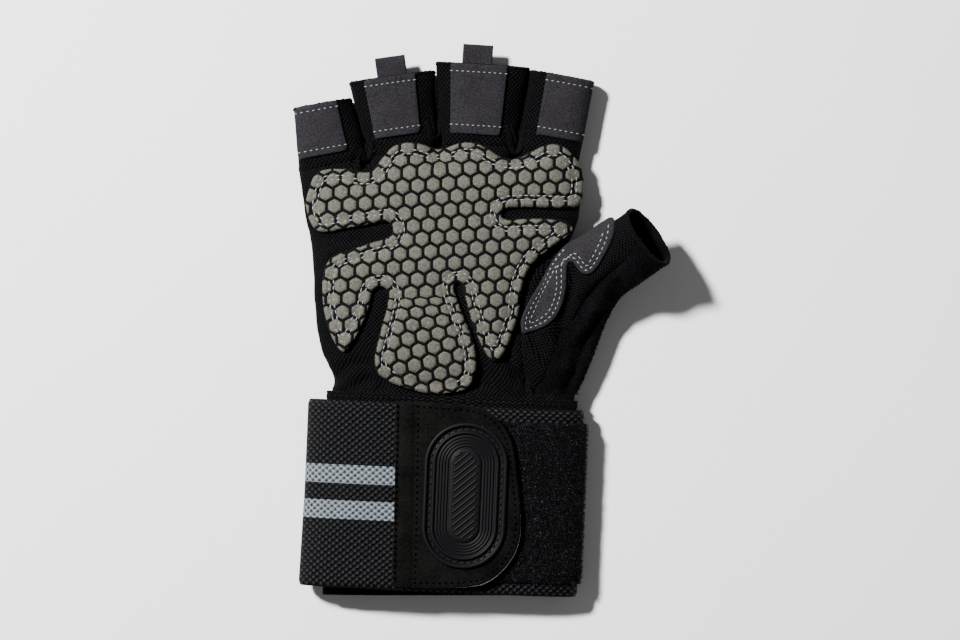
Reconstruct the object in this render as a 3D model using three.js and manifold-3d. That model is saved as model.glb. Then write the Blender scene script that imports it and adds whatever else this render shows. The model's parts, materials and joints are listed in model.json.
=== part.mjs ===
// Right-hand weightlifting glove with open fingers and a wrist wrap, lying palm up on its back.
// Millimetres, +Z up. +Y points from the wrist to the fingers, +X to the thumb side.
// The origin ends up at the bottom centre of the whole glove.
import * as THREE from "three";
import { mergeVertices } from "three/addons/utils/BufferGeometryUtils.js";
import Module from "manifold-3d";

const wasm = await Module();
wasm.setup();

// Hand part: the width and length of the palm, and how high the empty glove stands on a table
const PALM_WIDTH = 106;
const PALM_LENGTH = 98;
const PALM_HEIGHT = 15.5;
const CLOTH_WALL = 1.4;
const SEAM_GAP = 0.3;
const FINGER_LENGTH = 32;
const FINGER_HEIGHT = 11;
const FINGER_ROOT = 12;
const KNUCKLE_SEAM_RISE = 1.5;
const UNDERSIDE_SAG = 0.6;

// Thumb: the tube runs from the wrist, up beside the palm, and lifts off the table at its end
const THUMB_WIDTH = 30;
const THUMB_HEIGHT = 16.5;
const THUMB_REACH = 73;
const THUMB_LIFT = 18.5;

// Sewn-on pieces
const PAD_WIDTH = 106;
const PAD_LENGTH = 96;
const PAD_THICKNESS = 2.4;
const PAD_ABOVE_WRIST = 3.3;
const SUEDE_THICKNESS = 1.1;
const PATCH_CLEARANCE = 1;
const TAB_WIDTH = 11.6;
const TAB_REACH = 8.2;
const TAB_ROOT = 3.5;
const TAB_PLY = 0.9;
const TAB_SLIT = 0.5;
const TAPE_THICKNESS = 0.8;
const TAPE_WIDTH = 8;
const TAPE_ABOVE_WRIST = 2;

// Wrist wrap: one strap of webbing, wound once round the cuff and on over the palm side
const STRAP_WIDTH = 71.5;
const STRAP_THICKNESS = 1.5;
const WRAP_SPAN = 104.6;
const WRAP_HEIGHT = 16;
const WRAP_TILT_DEG = 2.4;
const WRAP_OFFSET_X = -0.2;
const WRAP_BELOW_WRIST = 1.3;
const WRAP_DROP_PER_TURN = 0.6;
const STRAP_START_X = -22;
const STRAP_END_X = -13;
const CUFF_SIDE_SLACK = 2.2;
const CUFF_SHORT_OF_WRAP = 3;
const LOOP_THICKNESS = 0.8;
const LOOP_WIDTH = 61.5;
const LOOP_START_X = -6;
const LOOP_END_TURN = 0.03;
const FLAP_THICKNESS = 1.1;
const FLAP_LEFT_X = -19;
const FLAP_RIGHT_X = 29;
const FLAP_CORNER = 21;
const FLAP_SEWN_CORNER = 0.5;
const HOOK_INSET = 1.2;
const HOOK_SLACK = 0.5;
const BADGE_WIDTH = 33;
const BADGE_LENGTH = 55.5;
const BADGE_X = 8.4;
const BADGE_PLATE = 0.9;
const BADGE_RELIEF = 0.6;
const BADGE_RIB = 1.2;

// How square each rounded section is: 2 is an ellipse, and more is fuller at the corners
const PALM_SQUARENESS = 2.7;
const FINGER_SQUARENESS = 2.5;
const THUMB_SQUARENESS = 2.3;
const WRAP_SQUARENESS = 3;

// Mesh fineness
const PALM_POINTS = 26;
const TUBE_POINTS = 20;
const ARC_POINTS = 5;
const SEAM_STEPS = 11;
const STRAP_STEPS = 60;
const LOOP_STEPS = 16;

// What lies between the floor and the cuff inside the wrap: strap, tape and a gap beside each
const TILT = THREE.MathUtils.degToRad(WRAP_TILT_DEG);
const CUFF_LIFT = STRAP_THICKNESS + TAPE_THICKNESS + 2 * SEAM_GAP;
const CUFF_TOP = WRAP_HEIGHT - CUFF_LIFT;
const STRAP_BASE_HALF = WRAP_SPAN / 2;
const CUFF_HALF = STRAP_BASE_HALF - CUFF_LIFT - CUFF_SIDE_SLACK;
const WRAP_CENTRE_Y = -WRAP_BELOW_WRIST - STRAP_WIDTH / 2;
const OUTER_TURN_RISE = LOOP_THICKNESS + 2 * SEAM_GAP;
const TAPE_TOP = TAPE_ABOVE_WRIST + CUFF_HALF * Math.tan(TILT);
// How far a cutting solid runs past the piece that it cuts, and past everything
const PAST_END = 3;
const FAR = 400;

// Palm sections. along is a share of the palm's length from the wrist line; left and right are the
// edges as shares of its width; top and lift are shares of its height and of the cuff's lift.
const PALM_SECTIONS = [
  { along: 0.073, left: -0.409, right: 0.432, top: 0.83, lift: 0.7 },
  { along: 0.14, left: -0.427, right: 0.4, top: 0.93, lift: 0.3 },
  { along: 0.253, left: -0.466, right: 0.375, top: 0.98, lift: 0.08 },
  { along: 0.38, left: -0.476, right: 0.38, top: 1.0, lift: 0 },
  { along: 0.505, left: -0.484, right: 0.41, top: 1.0, lift: 0 },
  { along: 0.59, left: -0.49, right: 0.4375, top: 0.98, lift: 0 },
  { along: 0.66, left: -0.5, right: 0.47, top: 0.96, lift: 0 },
  { along: 0.73, left: -0.512, right: 0.488, top: 0.93, lift: 0 },
  { along: 0.815, left: -0.523, right: 0.495, top: 0.88, lift: 0 },
  { along: 0.916, left: -0.544, right: 0.495, top: 0.79, lift: 0 },
];

// Fingers, little to index. x and y place the root as shares of the palm; root and tip are widths as
// shares of the palm's width; length and band are shares of the finger length; lean is in degrees
// towards the thumb; bandLeft and bandRight are shares of the half width; tab moves the pull tab
// sideways by a share of its width.
const FINGERS = [
  { name: "little", x: -0.411, y: 0.91, root: 0.252, tip: 0.208, length: 0.785, lean: -10.1,
    band: 0.61, bandLeft: -0.9, bandRight: 0.56, tab: null },
  { name: "ring", x: -0.154, y: 0.966, root: 0.25, tip: 0.297, length: 0.9375, lean: -7.9,
    band: 0.715, bandLeft: -0.7, bandRight: 0.56, tab: 0 },
  { name: "middle", x: 0.1135, y: 0.9915, root: 0.276, tip: 0.328, length: 0.99, lean: 3.7,
    band: 0.835, bandLeft: -0.69, bandRight: 0.57, tab: -0.17 },
  { name: "index", x: 0.373, y: 0.949, root: 0.23, tip: 0.236, length: 1.0, lean: 10.1,
    band: 0.74, bandLeft: -0.5, bandRight: 1.2, tab: null },
];

// Thumb sections. x and y are shares of the thumb's reach from the palm's middle and the wrist line;
// width and height are shares of the thumb's; middle is the centre's height as a share of the lift,
// counted from half the palm's height; seam is where the knit meets the terry on the upper side, as
// a share of the half width. On the underside they meet at TERRY_FOOT of the half width.
const TERRY_FOOT = -0.7;
const THUMB_SECTIONS = [
  { x: 0.5, y: 0.1, width: 0.98, height: 0.6, middle: -0.02, seam: 0.07 },
  { x: 0.535, y: 0.19, width: 1.02, height: 0.74, middle: -0.02, seam: 0.05 },
  { x: 0.585, y: 0.3, width: 0.995, height: 0.84, middle: -0.04, seam: 0.05 },
  { x: 0.66, y: 0.475, width: 0.96, height: 0.93, middle: 0.0, seam: 0.23 },
  { x: 0.753, y: 0.64, width: 0.95, height: 0.98, middle: 0.17, seam: 0.4 },
  { x: 0.859, y: 0.723, width: 0.87, height: 1.0, middle: 0.41, seam: 0.35 },
  { x: 0.964, y: 0.791, width: 0.85, height: 1.0, middle: 0.69, seam: 0.2 },
  { x: 1.055, y: 0.855, width: 0.84, height: 1.02, middle: 0.96, seam: -0.1 },
];

// Main folds of the cloth: a dent along a line, in shares of the palm, with its width and depth as
// shares of the palm's height.
const FOLDS = [
  { x0: 0.5, y0: 0.4, x1: 0.37, y1: 0.1, width: 0.42, depth: 0.13 },
  { x0: 0.3, y0: 0.24, x1: 0.26, y1: 0.05, width: 0.35, depth: 0.11 },
  { x0: -0.4, y0: 0.2, x1: -0.26, y1: 0.06, width: 0.38, depth: 0.13 },
  { x0: -0.28, y0: 0.93, x1: -0.28, y1: 0.84, width: 0.3, depth: 0.13 },
  { x0: 0.24, y0: 0.98, x1: 0.25, y1: 0.9, width: 0.3, depth: 0.13 },
];

// Outline of the grip pad, clockwise from its top left corner, as shares of the pad's width from the
// middle and of its length from the bottom, with each corner's radius as a share of the width.
const PAD_CORNERS = [
  { x: -0.5, y: 0.895, r: 0.055 },
  { x: -0.345, y: 0.895, r: 0.05 },
  { x: -0.29, y: 0.865, r: 0.035 },
  { x: -0.25, y: 0.875, r: 0.03 },
  { x: -0.2, y: 0.99, r: 0.05 },
  { x: -0.095, y: 1.0, r: 0.06 },
  { x: -0.035, y: 0.968, r: 0.05 },
  { x: 0.01, y: 0.972, r: 0.05 },
  { x: 0.065, y: 1.0, r: 0.07 },
  { x: 0.155, y: 0.995, r: 0.07 },
  { x: 0.21, y: 0.932, r: 0.05 },
  { x: 0.285, y: 0.935, r: 0.05 },
  { x: 0.355, y: 0.99, r: 0.05 },
  { x: 0.445, y: 0.985, r: 0.07 },
  { x: 0.505, y: 0.855, r: 0.09 },
  { x: 0.495, y: 0.735, r: 0.04 },
  { x: 0.206, y: 0.732, r: 0.017 },
  { x: 0.2, y: 0.69, r: 0.017 },
  { x: 0.45, y: 0.7, r: 0.03 },
  { x: 0.485, y: 0.63, r: 0.03 },
  { x: 0.325, y: 0.535, r: 0.05 },
  { x: 0.255, y: 0.26, r: 0.2 },
  { x: 0.195, y: 0.085, r: 0.045 },
  { x: 0.135, y: 0.175, r: 0.06 },
  { x: 0.068, y: 0.43, r: 0.018 },
  { x: 0.042, y: 0.425, r: 0.018 },
  { x: 0.128, y: 0.135, r: 0.08 },
  { x: 0.09, y: 0.0, r: 0.045 },
  { x: -0.165, y: 0.0, r: 0.08 },
  { x: -0.255, y: 0.07, r: 0.04 },
  { x: -0.238, y: 0.21, r: 0.1 },
  { x: -0.203, y: 0.42, r: 0.018 },
  { x: -0.25, y: 0.42, r: 0.022 },
  { x: -0.3, y: 0.27, r: 0.08 },
  { x: -0.355, y: 0.125, r: 0.035 },
  { x: -0.44, y: 0.28, r: 0.1 },
  { x: -0.44, y: 0.525, r: 0.06 },
  { x: -0.19, y: 0.625, r: 0.015 },
  { x: -0.19, y: 0.675, r: 0.015 },
  { x: -0.475, y: 0.628, r: 0.055 },
];

// Outline of the suede patch on the thumb, in shares of the thumb's reach, clockwise.
const PATCH_CORNERS = [
  { x: 0.395, y: 0.33, r: 0.03 },
  { x: 0.475, y: 0.555, r: 0.1 },
  { x: 0.545, y: 0.73, r: 0.15 },
  { x: 0.83, y: 0.985, r: 0.02 },
  { x: 0.885, y: 0.96, r: 0.03 },
  { x: 0.845, y: 0.71, r: 0.12 },
  { x: 0.745, y: 0.615, r: 0.05 },
  { x: 0.685, y: 0.745, r: 0.035 },
  { x: 0.63, y: 0.7, r: 0.05 },
  { x: 0.63, y: 0.43, r: 0.14 },
];

// Where the thumb piece is sewn to the palm, in shares of the thumb's reach, from the tip side down
// to the wrist.
const THUMB_SEAM = [
  { x: 0.8, y: 1.3 },
  { x: 0.745, y: 0.97 },
  { x: 0.665, y: 0.842 },
  { x: 0.53, y: 0.75 },
  { x: 0.44, y: 0.635 },
  { x: 0.4, y: 0.48 },
  { x: 0.395, y: 0.33 },
  { x: 0.41, y: 0.18 },
  { x: 0.43, y: 0.035 },
];

const SUEDE_GREY = { color: 0x4a494c, roughness: 0.95, metalness: 0 };
const KNIT_BLACK = { color: 0x17171a, roughness: 0.9, metalness: 0 };
const TERRY_BLACK = { color: 0x101012, roughness: 1, metalness: 0 };
const PAD_GREY = { color: 0x97948a, roughness: 0.6, metalness: 0 };
const WEBBING_BLACK = { color: 0x1b1c1e, roughness: 0.8, metalness: 0 };
const LOOP_BLACK = { color: 0x0d0d10, roughness: 1, metalness: 0 };
const HOOK_BLACK = { color: 0x202224, roughness: 0.6, metalness: 0 };
const NUBUCK_BLACK = { color: 0x19191b, roughness: 0.95, metalness: 0 };
const RUBBER_BLACK = { color: 0x26272a, roughness: 0.6, metalness: 0 };

// Solids

function solid(geometry) {
  const plain = geometry.clone();
  plain.deleteAttribute("normal");
  plain.deleteAttribute("uv");
  const merged = mergeVertices(plain, 1e-4);
  return new wasm.Manifold(
    new wasm.Mesh({
      numProp: 3,
      vertProperties: new Float32Array(merged.attributes.position.array),
      triVerts: new Uint32Array(merged.index.array),
    }),
  );
}

// A closed tube through rings of equal count, capped at both ends.
function loft(rings) {
  const count = rings[0].length;
  const middle = (ring) => ring.reduce((sum, p) => sum.add(p), new THREE.Vector3()).divideScalar(count);
  const points = [...rings.flat(), middle(rings[0]), middle(rings.at(-1))];
  const faces = [];
  const first = rings.length * count;
  for (let i = 0; i < count; i++) {
    const next = (i + 1) % count;
    for (let row = 0; row < rings.length - 1; row++) {
      const a = row * count;
      const b = a + count;
      faces.push(a + i, a + next, b + i, a + next, b + next, b + i);
    }
    const last = first - count;
    faces.push(first, next, i, first + 1, last + i, last + next);
  }
  const geometry = new THREE.BufferGeometry().setFromPoints(points);
  geometry.setIndex(faces);
  return solid(geometry);
}

// An outline drawn from above, as a solid from one height to another.
function upright(outline, low = -FAR, high = FAR) {
  const geometry = new THREE.ExtrudeGeometry(new THREE.Shape(outline), {
    depth: high - low,
    bevelEnabled: false,
  });
  return solid(geometry.translate(0, 0, low));
}

// An outline of X and Z, as a solid along Y about the middle.
function along(outline, length) {
  const geometry = new THREE.ExtrudeGeometry(new THREE.Shape(outline), {
    depth: length,
    bevelEnabled: false,
  });
  return solid(geometry.translate(0, 0, -length / 2).rotateX(Math.PI / 2));
}

const joined = (solids) => solids.reduce((sum, s) => sum.add(s));

function part(name, body, finish) {
  const mesh = body.getMesh();
  const geometry = new THREE.BufferGeometry();
  geometry.setAttribute("position", new THREE.BufferAttribute(mesh.vertProperties, mesh.numProp));
  geometry.setIndex(new THREE.BufferAttribute(mesh.triVerts, 1));
  const flat = geometry.toNonIndexed();
  flat.computeVertexNormals();
  const made = new THREE.Mesh(flat, new THREE.MeshStandardMaterial(finish));
  made.name = name;
  return made;
}

// Outlines

function oval(count, halfWidth, halfHeight, squareness) {
  const power = 2 / squareness;
  const bent = (v) => Math.sign(v) * Math.abs(v) ** power;
  return Array.from({ length: count }, (_, i) => {
    const turn = (2 * Math.PI * i) / count;
    return new THREE.Vector2(halfWidth * bent(Math.cos(turn)), halfHeight * bent(Math.sin(turn)));
  });
}

// A closed outline with an arc at each corner.
function rounded(corners) {
  const outline = [];
  corners.forEach((corner, i) => {
    const here = new THREE.Vector2(corner.x, corner.y);
    const before = corners.at(i - 1);
    const after = corners[(i + 1) % corners.length];
    const back = new THREE.Vector2(before.x, before.y).sub(here);
    const on = new THREE.Vector2(after.x, after.y).sub(here);
    const half = Math.acos(back.clone().normalize().dot(on.clone().normalize())) / 2;
    const room = 0.48 * Math.min(back.length(), on.length());
    const reach = Math.min(corner.r / Math.tan(half), room);
    const start = here.clone().addScaledVector(back.normalize(), reach);
    const end = here.clone().addScaledVector(on.normalize(), reach);
    const curve = new THREE.QuadraticBezierCurve(start, here, end);
    const steps = Math.max(2, Math.round((ARC_POINTS * (Math.PI - 2 * half)) / Math.PI) + 1);
    outline.push(...curve.getPoints(steps));
  });
  return outline;
}

// A line moved sideways, to its left as it runs.
function shifted(line, distance, closed = false) {
  const last = line.length - 1;
  const at = (i) => (closed ? line.at(i % line.length) : line[THREE.MathUtils.clamp(i, 0, last)]);
  return line.map((p, i) => {
    const on = at(i + 1).clone().sub(at(i - 1)).normalize();
    return new THREE.Vector2(p.x - on.y * distance, p.y + on.x * distance);
  });
}

function smoothLine(points, steps) {
  const lifted = points.map((p) => new THREE.Vector3(p.x, p.y, 0));
  const curve = new THREE.CatmullRomCurve3(lifted, false, "centripetal");
  return curve.getPoints(steps).map((p) => new THREE.Vector2(p.x, p.y));
}

// Cloth forms. grow moves the whole surface out, or in where it is negative.

function foldDepth(x, y) {
  const here = new THREE.Vector3(x, y, 0);
  const near = new THREE.Vector3();
  return FOLDS.reduce((sum, fold) => {
    const line = new THREE.Line3(
      new THREE.Vector3(fold.x0 * PALM_WIDTH, fold.y0 * PALM_LENGTH, 0),
      new THREE.Vector3(fold.x1 * PALM_WIDTH, fold.y1 * PALM_LENGTH, 0),
    );
    line.closestPointToPoint(here, true, near);
    const away = near.distanceTo(here) / (fold.width * PALM_HEIGHT);
    return sum + fold.depth * PALM_HEIGHT * Math.exp(-away * away);
  }, 0);
}

// Only the upper half of a ring sinks into the folds, and the table holds up the underside.
function draped(point, upper, grow) {
  point.z -= Math.max(0, upper) * foldDepth(point.x, point.y);
  point.z = Math.max(point.z, -grow);
  return point;
}

const cuffX = (y) => WRAP_OFFSET_X + (y - WRAP_CENTRE_Y) * Math.tan(TILT);

// The palm's edges and heights at each section, cuff first.
function palmRows() {
  const cuffEnd = WRAP_CENTRE_Y - STRAP_WIDTH / 2 + CUFF_SHORT_OF_WRAP;
  const cuffRow = (y) => {
    const middle = cuffX(y) + CUFF_SIDE_SLACK / 2;
    return { y, left: middle - CUFF_HALF, right: middle + CUFF_HALF, bottom: CUFF_LIFT, top: CUFF_TOP };
  };
  const rows = PALM_SECTIONS.map((s) => ({
    y: s.along * PALM_LENGTH,
    left: s.left * PALM_WIDTH,
    right: s.right * PALM_WIDTH,
    bottom: s.lift * CUFF_LIFT - (1 - s.lift) * UNDERSIDE_SAG,
    top: s.top * PALM_HEIGHT,
  }));
  return [cuffRow(cuffEnd), cuffRow(WRAP_CENTRE_Y), cuffRow(TAPE_TOP), ...rows];
}

const ROWS = palmRows();

function palmBody(grow, endGrow = grow) {
  const rings = ROWS.map((row, i) => {
    const y = row.y + (i === ROWS.length - 1 ? endGrow : i === 0 ? -endGrow : 0);
    const halfWidth = (row.right - row.left) / 2 + grow;
    const halfHeight = (row.top - row.bottom) / 2 + grow;
    const middle = (row.top + row.bottom) / 2;
    return oval(PALM_POINTS, halfWidth, halfHeight, PALM_SQUARENESS).map((p) =>
      draped(new THREE.Vector3((row.left + row.right) / 2 + p.x, y, middle + p.y), p.y / halfHeight, grow),
    );
  });
  return loft(rings.map((ring) => ring.reverse()));
}

function fingerFrame(finger) {
  const lean = THREE.MathUtils.degToRad(finger.lean);
  return {
    root: new THREE.Vector2(finger.x * PALM_WIDTH, finger.y * PALM_LENGTH),
    on: new THREE.Vector2(Math.sin(lean), Math.cos(lean)),
    across: new THREE.Vector2(Math.cos(lean), -Math.sin(lean)),
    length: finger.length * FINGER_LENGTH,
    rootHalf: (finger.root * PALM_WIDTH) / 2,
    tipHalf: (finger.tip * PALM_WIDTH) / 2,
  };
}

const inFinger = (frame, s, w) =>
  frame.root.clone().addScaledVector(frame.on, s).addScaledVector(frame.across, w);

// The tube of one finger: wide where it grows out of the palm, narrow at the crotch, flared at the tip.
function fingerTube(finger, grow, rootReach, tipReach) {
  const frame = fingerFrame(finger);
  const stations = [
    { s: -FINGER_ROOT - rootReach, half: 0.9 * frame.rootHalf, high: 1.05 },
    { s: 0, half: frame.rootHalf, high: 1.02 },
    { s: 0.35 * frame.length, half: frame.rootHalf + 0.3 * (frame.tipHalf - frame.rootHalf), high: 0.98 },
    { s: frame.length, half: frame.tipHalf, high: 1.0 },
  ];
  if (tipReach > 0) stations.push({ s: frame.length + tipReach, half: frame.tipHalf, high: 1.0 });
  const rings = stations.map(({ s, half, high }) => {
    const halfHeight = (high * FINGER_HEIGHT + UNDERSIDE_SAG) / 2;
    const middle = halfHeight - UNDERSIDE_SAG;
    return oval(TUBE_POINTS, half + grow, halfHeight + grow, FINGER_SQUARENESS).map((p) => {
      const flat = inFinger(frame, s, p.x);
      return draped(new THREE.Vector3(flat.x, flat.y, middle + p.y), p.y / halfHeight, grow);
    });
  });
  return loft(rings.map((ring) => ring.reverse()));
}

// The thumb's own axes at each section: its centre on a rising curve, along it, across it and up.
const THUMB_FRAMES = (() => {
  const centres = THUMB_SECTIONS.map(
    (s) => new THREE.Vector3(s.x * THUMB_REACH, s.y * THUMB_REACH, PALM_HEIGHT / 2 + s.middle * THUMB_LIFT),
  );
  return THUMB_SECTIONS.map((s, i) => {
    const on = centres[Math.min(i + 1, centres.length - 1)].clone().sub(centres[Math.max(i - 1, 0)]);
    on.normalize();
    const side = new THREE.Vector3().crossVectors(on, new THREE.Vector3(0, 0, 1)).normalize();
    const up = new THREE.Vector3().crossVectors(side, on);
    const half = new THREE.Vector2((s.width * THUMB_WIDTH) / 2, (s.height * THUMB_HEIGHT) / 2);
    return { centre: centres[i], on, side, up, half, seam: s.seam * ((s.width * THUMB_WIDTH) / 2) };
  });
})();

// A point of the thumb's section, from across and up, pushed along the thumb by push.
const inThumb = (frame, p, push = 0) =>
  frame.centre.clone().addScaledVector(frame.side, p.x).addScaledVector(frame.up, p.y)
    .addScaledVector(frame.on, push);

function thumbTube(grow, tipReach) {
  const ring = (frame, push) =>
    oval(TUBE_POINTS, frame.half.x + grow, frame.half.y + grow, THUMB_SQUARENESS).map((p) =>
      draped(inThumb(frame, p, push), p.y / frame.half.y, grow),
    );
  const rings = THUMB_FRAMES.map((frame, i) => ring(frame, i === 0 ? -grow : 0));
  if (tipReach > 0) rings.push(ring(THUMB_FRAMES.at(-1), tipReach));
  return loft(rings.map((points) => points.reverse()));
}

// The thumb's outer and back side, where it is terry, up to a seam moved by shift.
function terrySide(shift) {
  const ring = (frame, push) => {
    const top = new THREE.Vector2(frame.seam - shift, frame.half.y);
    const foot = new THREE.Vector2(TERRY_FOOT * frame.half.x - shift, -frame.half.y);
    const beyond = top.clone().sub(foot).multiplyScalar(0.5);
    const right = 2 * frame.half.x;
    top.add(beyond);
    foot.sub(beyond);
    const corners = [top, foot, new THREE.Vector2(right, foot.y), new THREE.Vector2(right, top.y)];
    return corners.map((p) => inThumb(frame, p, push));
  };
  const rings = THUMB_FRAMES.map((frame) => ring(frame, 0));
  return loft([
    ring(THUMB_FRAMES[0], -THUMB_WIDTH),
    ...rings,
    ring(THUMB_FRAMES.at(-1), THUMB_WIDTH),
  ].map((points) => points.reverse()));
}

// The whole hand, as a solid grown or shrunk by one distance.
function hand(grow) {
  const fingers = FINGERS.map((finger) => fingerTube(finger, grow, 0, 0));
  return joined([palmBody(grow), thumbTube(grow, 0), ...fingers]);
}

// The room inside: every tube shrunk by the cloth's wall and run out through its open end.
function hollow() {
  const fingers = FINGERS.map((finger) => fingerTube(finger, -CLOTH_WALL, -CLOTH_WALL, PAST_END));
  const palm = palmBody(-CLOTH_WALL);
  const wrist = palmBody(-CLOTH_WALL, PAST_END);
  const belowWrist = upright(boxOutline(-FAR, -FAR, FAR, WRAP_CENTRE_Y));
  return joined([palm, wrist.intersect(belowWrist), thumbTube(-CLOTH_WALL, PAST_END), ...fingers]);
}

function boxOutline(x0, y0, x1, y1) {
  return [
    new THREE.Vector2(x0, y0),
    new THREE.Vector2(x1, y0),
    new THREE.Vector2(x1, y1),
    new THREE.Vector2(x0, y1),
  ];
}

// A skin of one thickness lying on a form, a seam gap off it.
const skin = (form, thickness) => form(SEAM_GAP + thickness).subtract(form(SEAM_GAP));

// Seams that part the hand into its pieces

const knuckleSeam = (() => {
  const frames = FINGERS.map(fingerFrame);
  const points = frames.map((frame) => inFinger(frame, KNUCKLE_SEAM_RISE, 0));
  const drop = PALM_LENGTH / 14;
  const before = new THREE.Vector2(points[0].x - PALM_WIDTH / 3, points[0].y - drop);
  const after = new THREE.Vector2(points.at(-1).x + PALM_WIDTH / 3, points.at(-1).y - drop);
  return smoothLine([before, ...points, after], SEAM_STEPS);
})();

function beyondKnuckles(shift) {
  const line = knuckleSeam.map((p) => new THREE.Vector2(p.x, p.y + shift));
  const { x: x0 } = line[0];
  const { x: x1 } = line.at(-1);
  return upright([new THREE.Vector2(x1, FAR), new THREE.Vector2(x0, FAR), ...line]);
}

// Everything above the line along the hand's sides where the palm and back panels meet.
function aboveSideSeam(shift) {
  const line = ROWS.map((row) => new THREE.Vector2(row.y, (row.top + row.bottom) / 2 + shift));
  const outline = [
    new THREE.Vector2(-FAR, line[0].y),
    ...line,
    new THREE.Vector2(FAR, line.at(-1).y),
    new THREE.Vector2(FAR, FAR),
    new THREE.Vector2(-FAR, FAR),
  ];
  const geometry = new THREE.ExtrudeGeometry(new THREE.Shape(outline), {
    depth: 2 * FAR,
    bevelEnabled: false,
  });
  geometry.translate(0, 0, -FAR);
  geometry.applyMatrix4(new THREE.Matrix4().set(0, 0, 1, 0, 1, 0, 0, 0, 0, 1, 0, 0, 0, 0, 0, 1));
  return solid(geometry);
}

// The thumb's side of its seam, with the seam moved towards the palm by shift.
function thumbSide(shift) {
  const seam = THUMB_SEAM.map((p) => new THREE.Vector2(p.x * THUMB_REACH, p.y * THUMB_REACH));
  const line = shifted(smoothLine(seam, SEAM_STEPS), -shift);
  const foot = line.at(-1).y;
  return upright([...line, new THREE.Vector2(FAR, foot), new THREE.Vector2(FAR, line[0].y)]);
}

// The hand's cloth
function clothParts() {
  const cloth = hand(0).subtract(hollow());
  const half = SEAM_GAP / 2;
  const palmAndBack = cloth.subtract(beyondKnuckles(-half)).subtract(thumbSide(half));
  const thumb = cloth.intersect(thumbSide(-half)).subtract(beyondKnuckles(-half));
  const inside = hollow();
  const stalls = FINGERS.map((finger) => {
    const stall = fingerTube(finger, 0, 0, 0).subtract(inside).intersect(beyondKnuckles(half));
    return part(finger.name + "_stall", stall, KNIT_BLACK);
  });
  return [
    part("palm_panel", palmAndBack.intersect(aboveSideSeam(half)), KNIT_BLACK),
    part("back_panel", palmAndBack.subtract(aboveSideSeam(-half)), KNIT_BLACK),
    part("thumb_knit_half", thumb.subtract(terrySide(half)), KNIT_BLACK),
    part("thumb_terry_half", thumb.intersect(terrySide(-half)), TERRY_BLACK),
    ...stalls,
  ];
}

const padOutline = rounded(
  PAD_CORNERS.map((c) => ({
    x: c.x * PAD_WIDTH,
    y: PAD_ABOVE_WRIST + c.y * PAD_LENGTH,
    r: c.r * PAD_WIDTH,
  })),
);

// Padded grip with slots between its lobes
function gripPad() {
  const layer = skin(hand, PAD_THICKNESS).intersect(upright(padOutline, PALM_HEIGHT / 2));
  return part("grip_pad", layer, PAD_GREY);
}

// Suede band over the front of one finger, flush with the open end
function fingerBand(finger) {
  const frame = fingerFrame(finger);
  const foot = frame.length - finger.band * FINGER_LENGTH;
  const corner = (s, share) => {
    const half = THREE.MathUtils.lerp(frame.rootHalf, frame.tipHalf, s / frame.length);
    return inFinger(frame, s, share * half);
  };
  const end = frame.length + PAST_END;
  const outline = [
    corner(foot, finger.bandLeft),
    corner(foot, finger.bandRight),
    corner(end, finger.bandRight),
    corner(end, finger.bandLeft),
  ];
  const over = fingerTube(finger, SEAM_GAP + SUEDE_THICKNESS, 0, 0);
  const layer = over.subtract(fingerTube(finger, SEAM_GAP, PAST_END, PAST_END));
  return part(
    finger.name + "_band",
    layer.intersect(upright(outline, FINGER_HEIGHT / 2 + SEAM_GAP)),
    SUEDE_GREY,
  );
}

// Pull tab: a strip folded over on itself, its ends sewn inside the finger's upper lip
function pullTab(finger) {
  const frame = fingerFrame(finger);
  const top = FINGER_HEIGHT - CLOTH_WALL - 2 * SEAM_GAP;
  const outer = TAB_PLY + TAB_SLIT / 2;
  const middle = top - outer;
  const start = -TAB_ROOT;
  const bend = TAB_REACH - outer;
  const arc = (radius, from, to) =>
    new THREE.EllipseCurve(bend, middle, radius, radius, from, to, from > to).getPoints(ARC_POINTS);
  const outline = [
    new THREE.Vector2(start, middle - outer),
    ...arc(outer, -Math.PI / 2, Math.PI / 2),
    new THREE.Vector2(start, middle + outer),
    new THREE.Vector2(start, middle + TAB_SLIT / 2),
    ...arc(TAB_SLIT / 2, Math.PI / 2, -Math.PI / 2),
    new THREE.Vector2(start, middle - TAB_SLIT / 2),
  ];
  const geometry = new THREE.ExtrudeGeometry(new THREE.Shape(outline), {
    depth: TAB_WIDTH,
    bevelEnabled: false,
  });
  geometry.translate(0, 0, -TAB_WIDTH / 2);
  const mouth = inFinger(frame, frame.length, finger.tab * TAB_WIDTH);
  const placed = new THREE.Matrix4().makeBasis(
    new THREE.Vector3(frame.on.x, frame.on.y, 0),
    new THREE.Vector3(0, 0, 1),
    new THREE.Vector3(frame.across.x, frame.across.y, 0),
  );
  placed.setPosition(mouth.x, mouth.y, 0);
  return part(finger.name + "_pull_tab", solid(geometry.applyMatrix4(placed)), SUEDE_GREY);
}

// Suede patch that guards the crotch of the thumb, clear of the grip pad
function thumbPatch() {
  const outline = rounded(
    PATCH_CORNERS.map((c) => ({ x: c.x * THUMB_REACH, y: c.y * THUMB_REACH, r: c.r * THUMB_REACH })),
  );
  const layer = skin(hand, SUEDE_THICKNESS).intersect(upright(outline, PALM_HEIGHT / 2));
  const padRoom = upright(shifted(padOutline, PATCH_CLEARANCE, true));
  return part("thumb_patch", layer.subtract(padRoom), SUEDE_GREY);
}

// Narrow tape sewn round the hand where the wrap takes over
function wristTape() {
  const middle = new THREE.Vector2(WRAP_OFFSET_X, TAPE_ABOVE_WRIST);
  const flat = boxOutline(middle.x - FAR, middle.y - TAPE_WIDTH, middle.x + FAR, middle.y);
  const outline = flat.map((p) => p.rotateAround(middle, -TILT));
  return part("wrist_tape", skin(hand, TAPE_THICKNESS).intersect(upright(outline)), WEBBING_BLACK);
}

// Wrap. It is drawn square to its own axis, with its centre at the group's origin.

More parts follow.
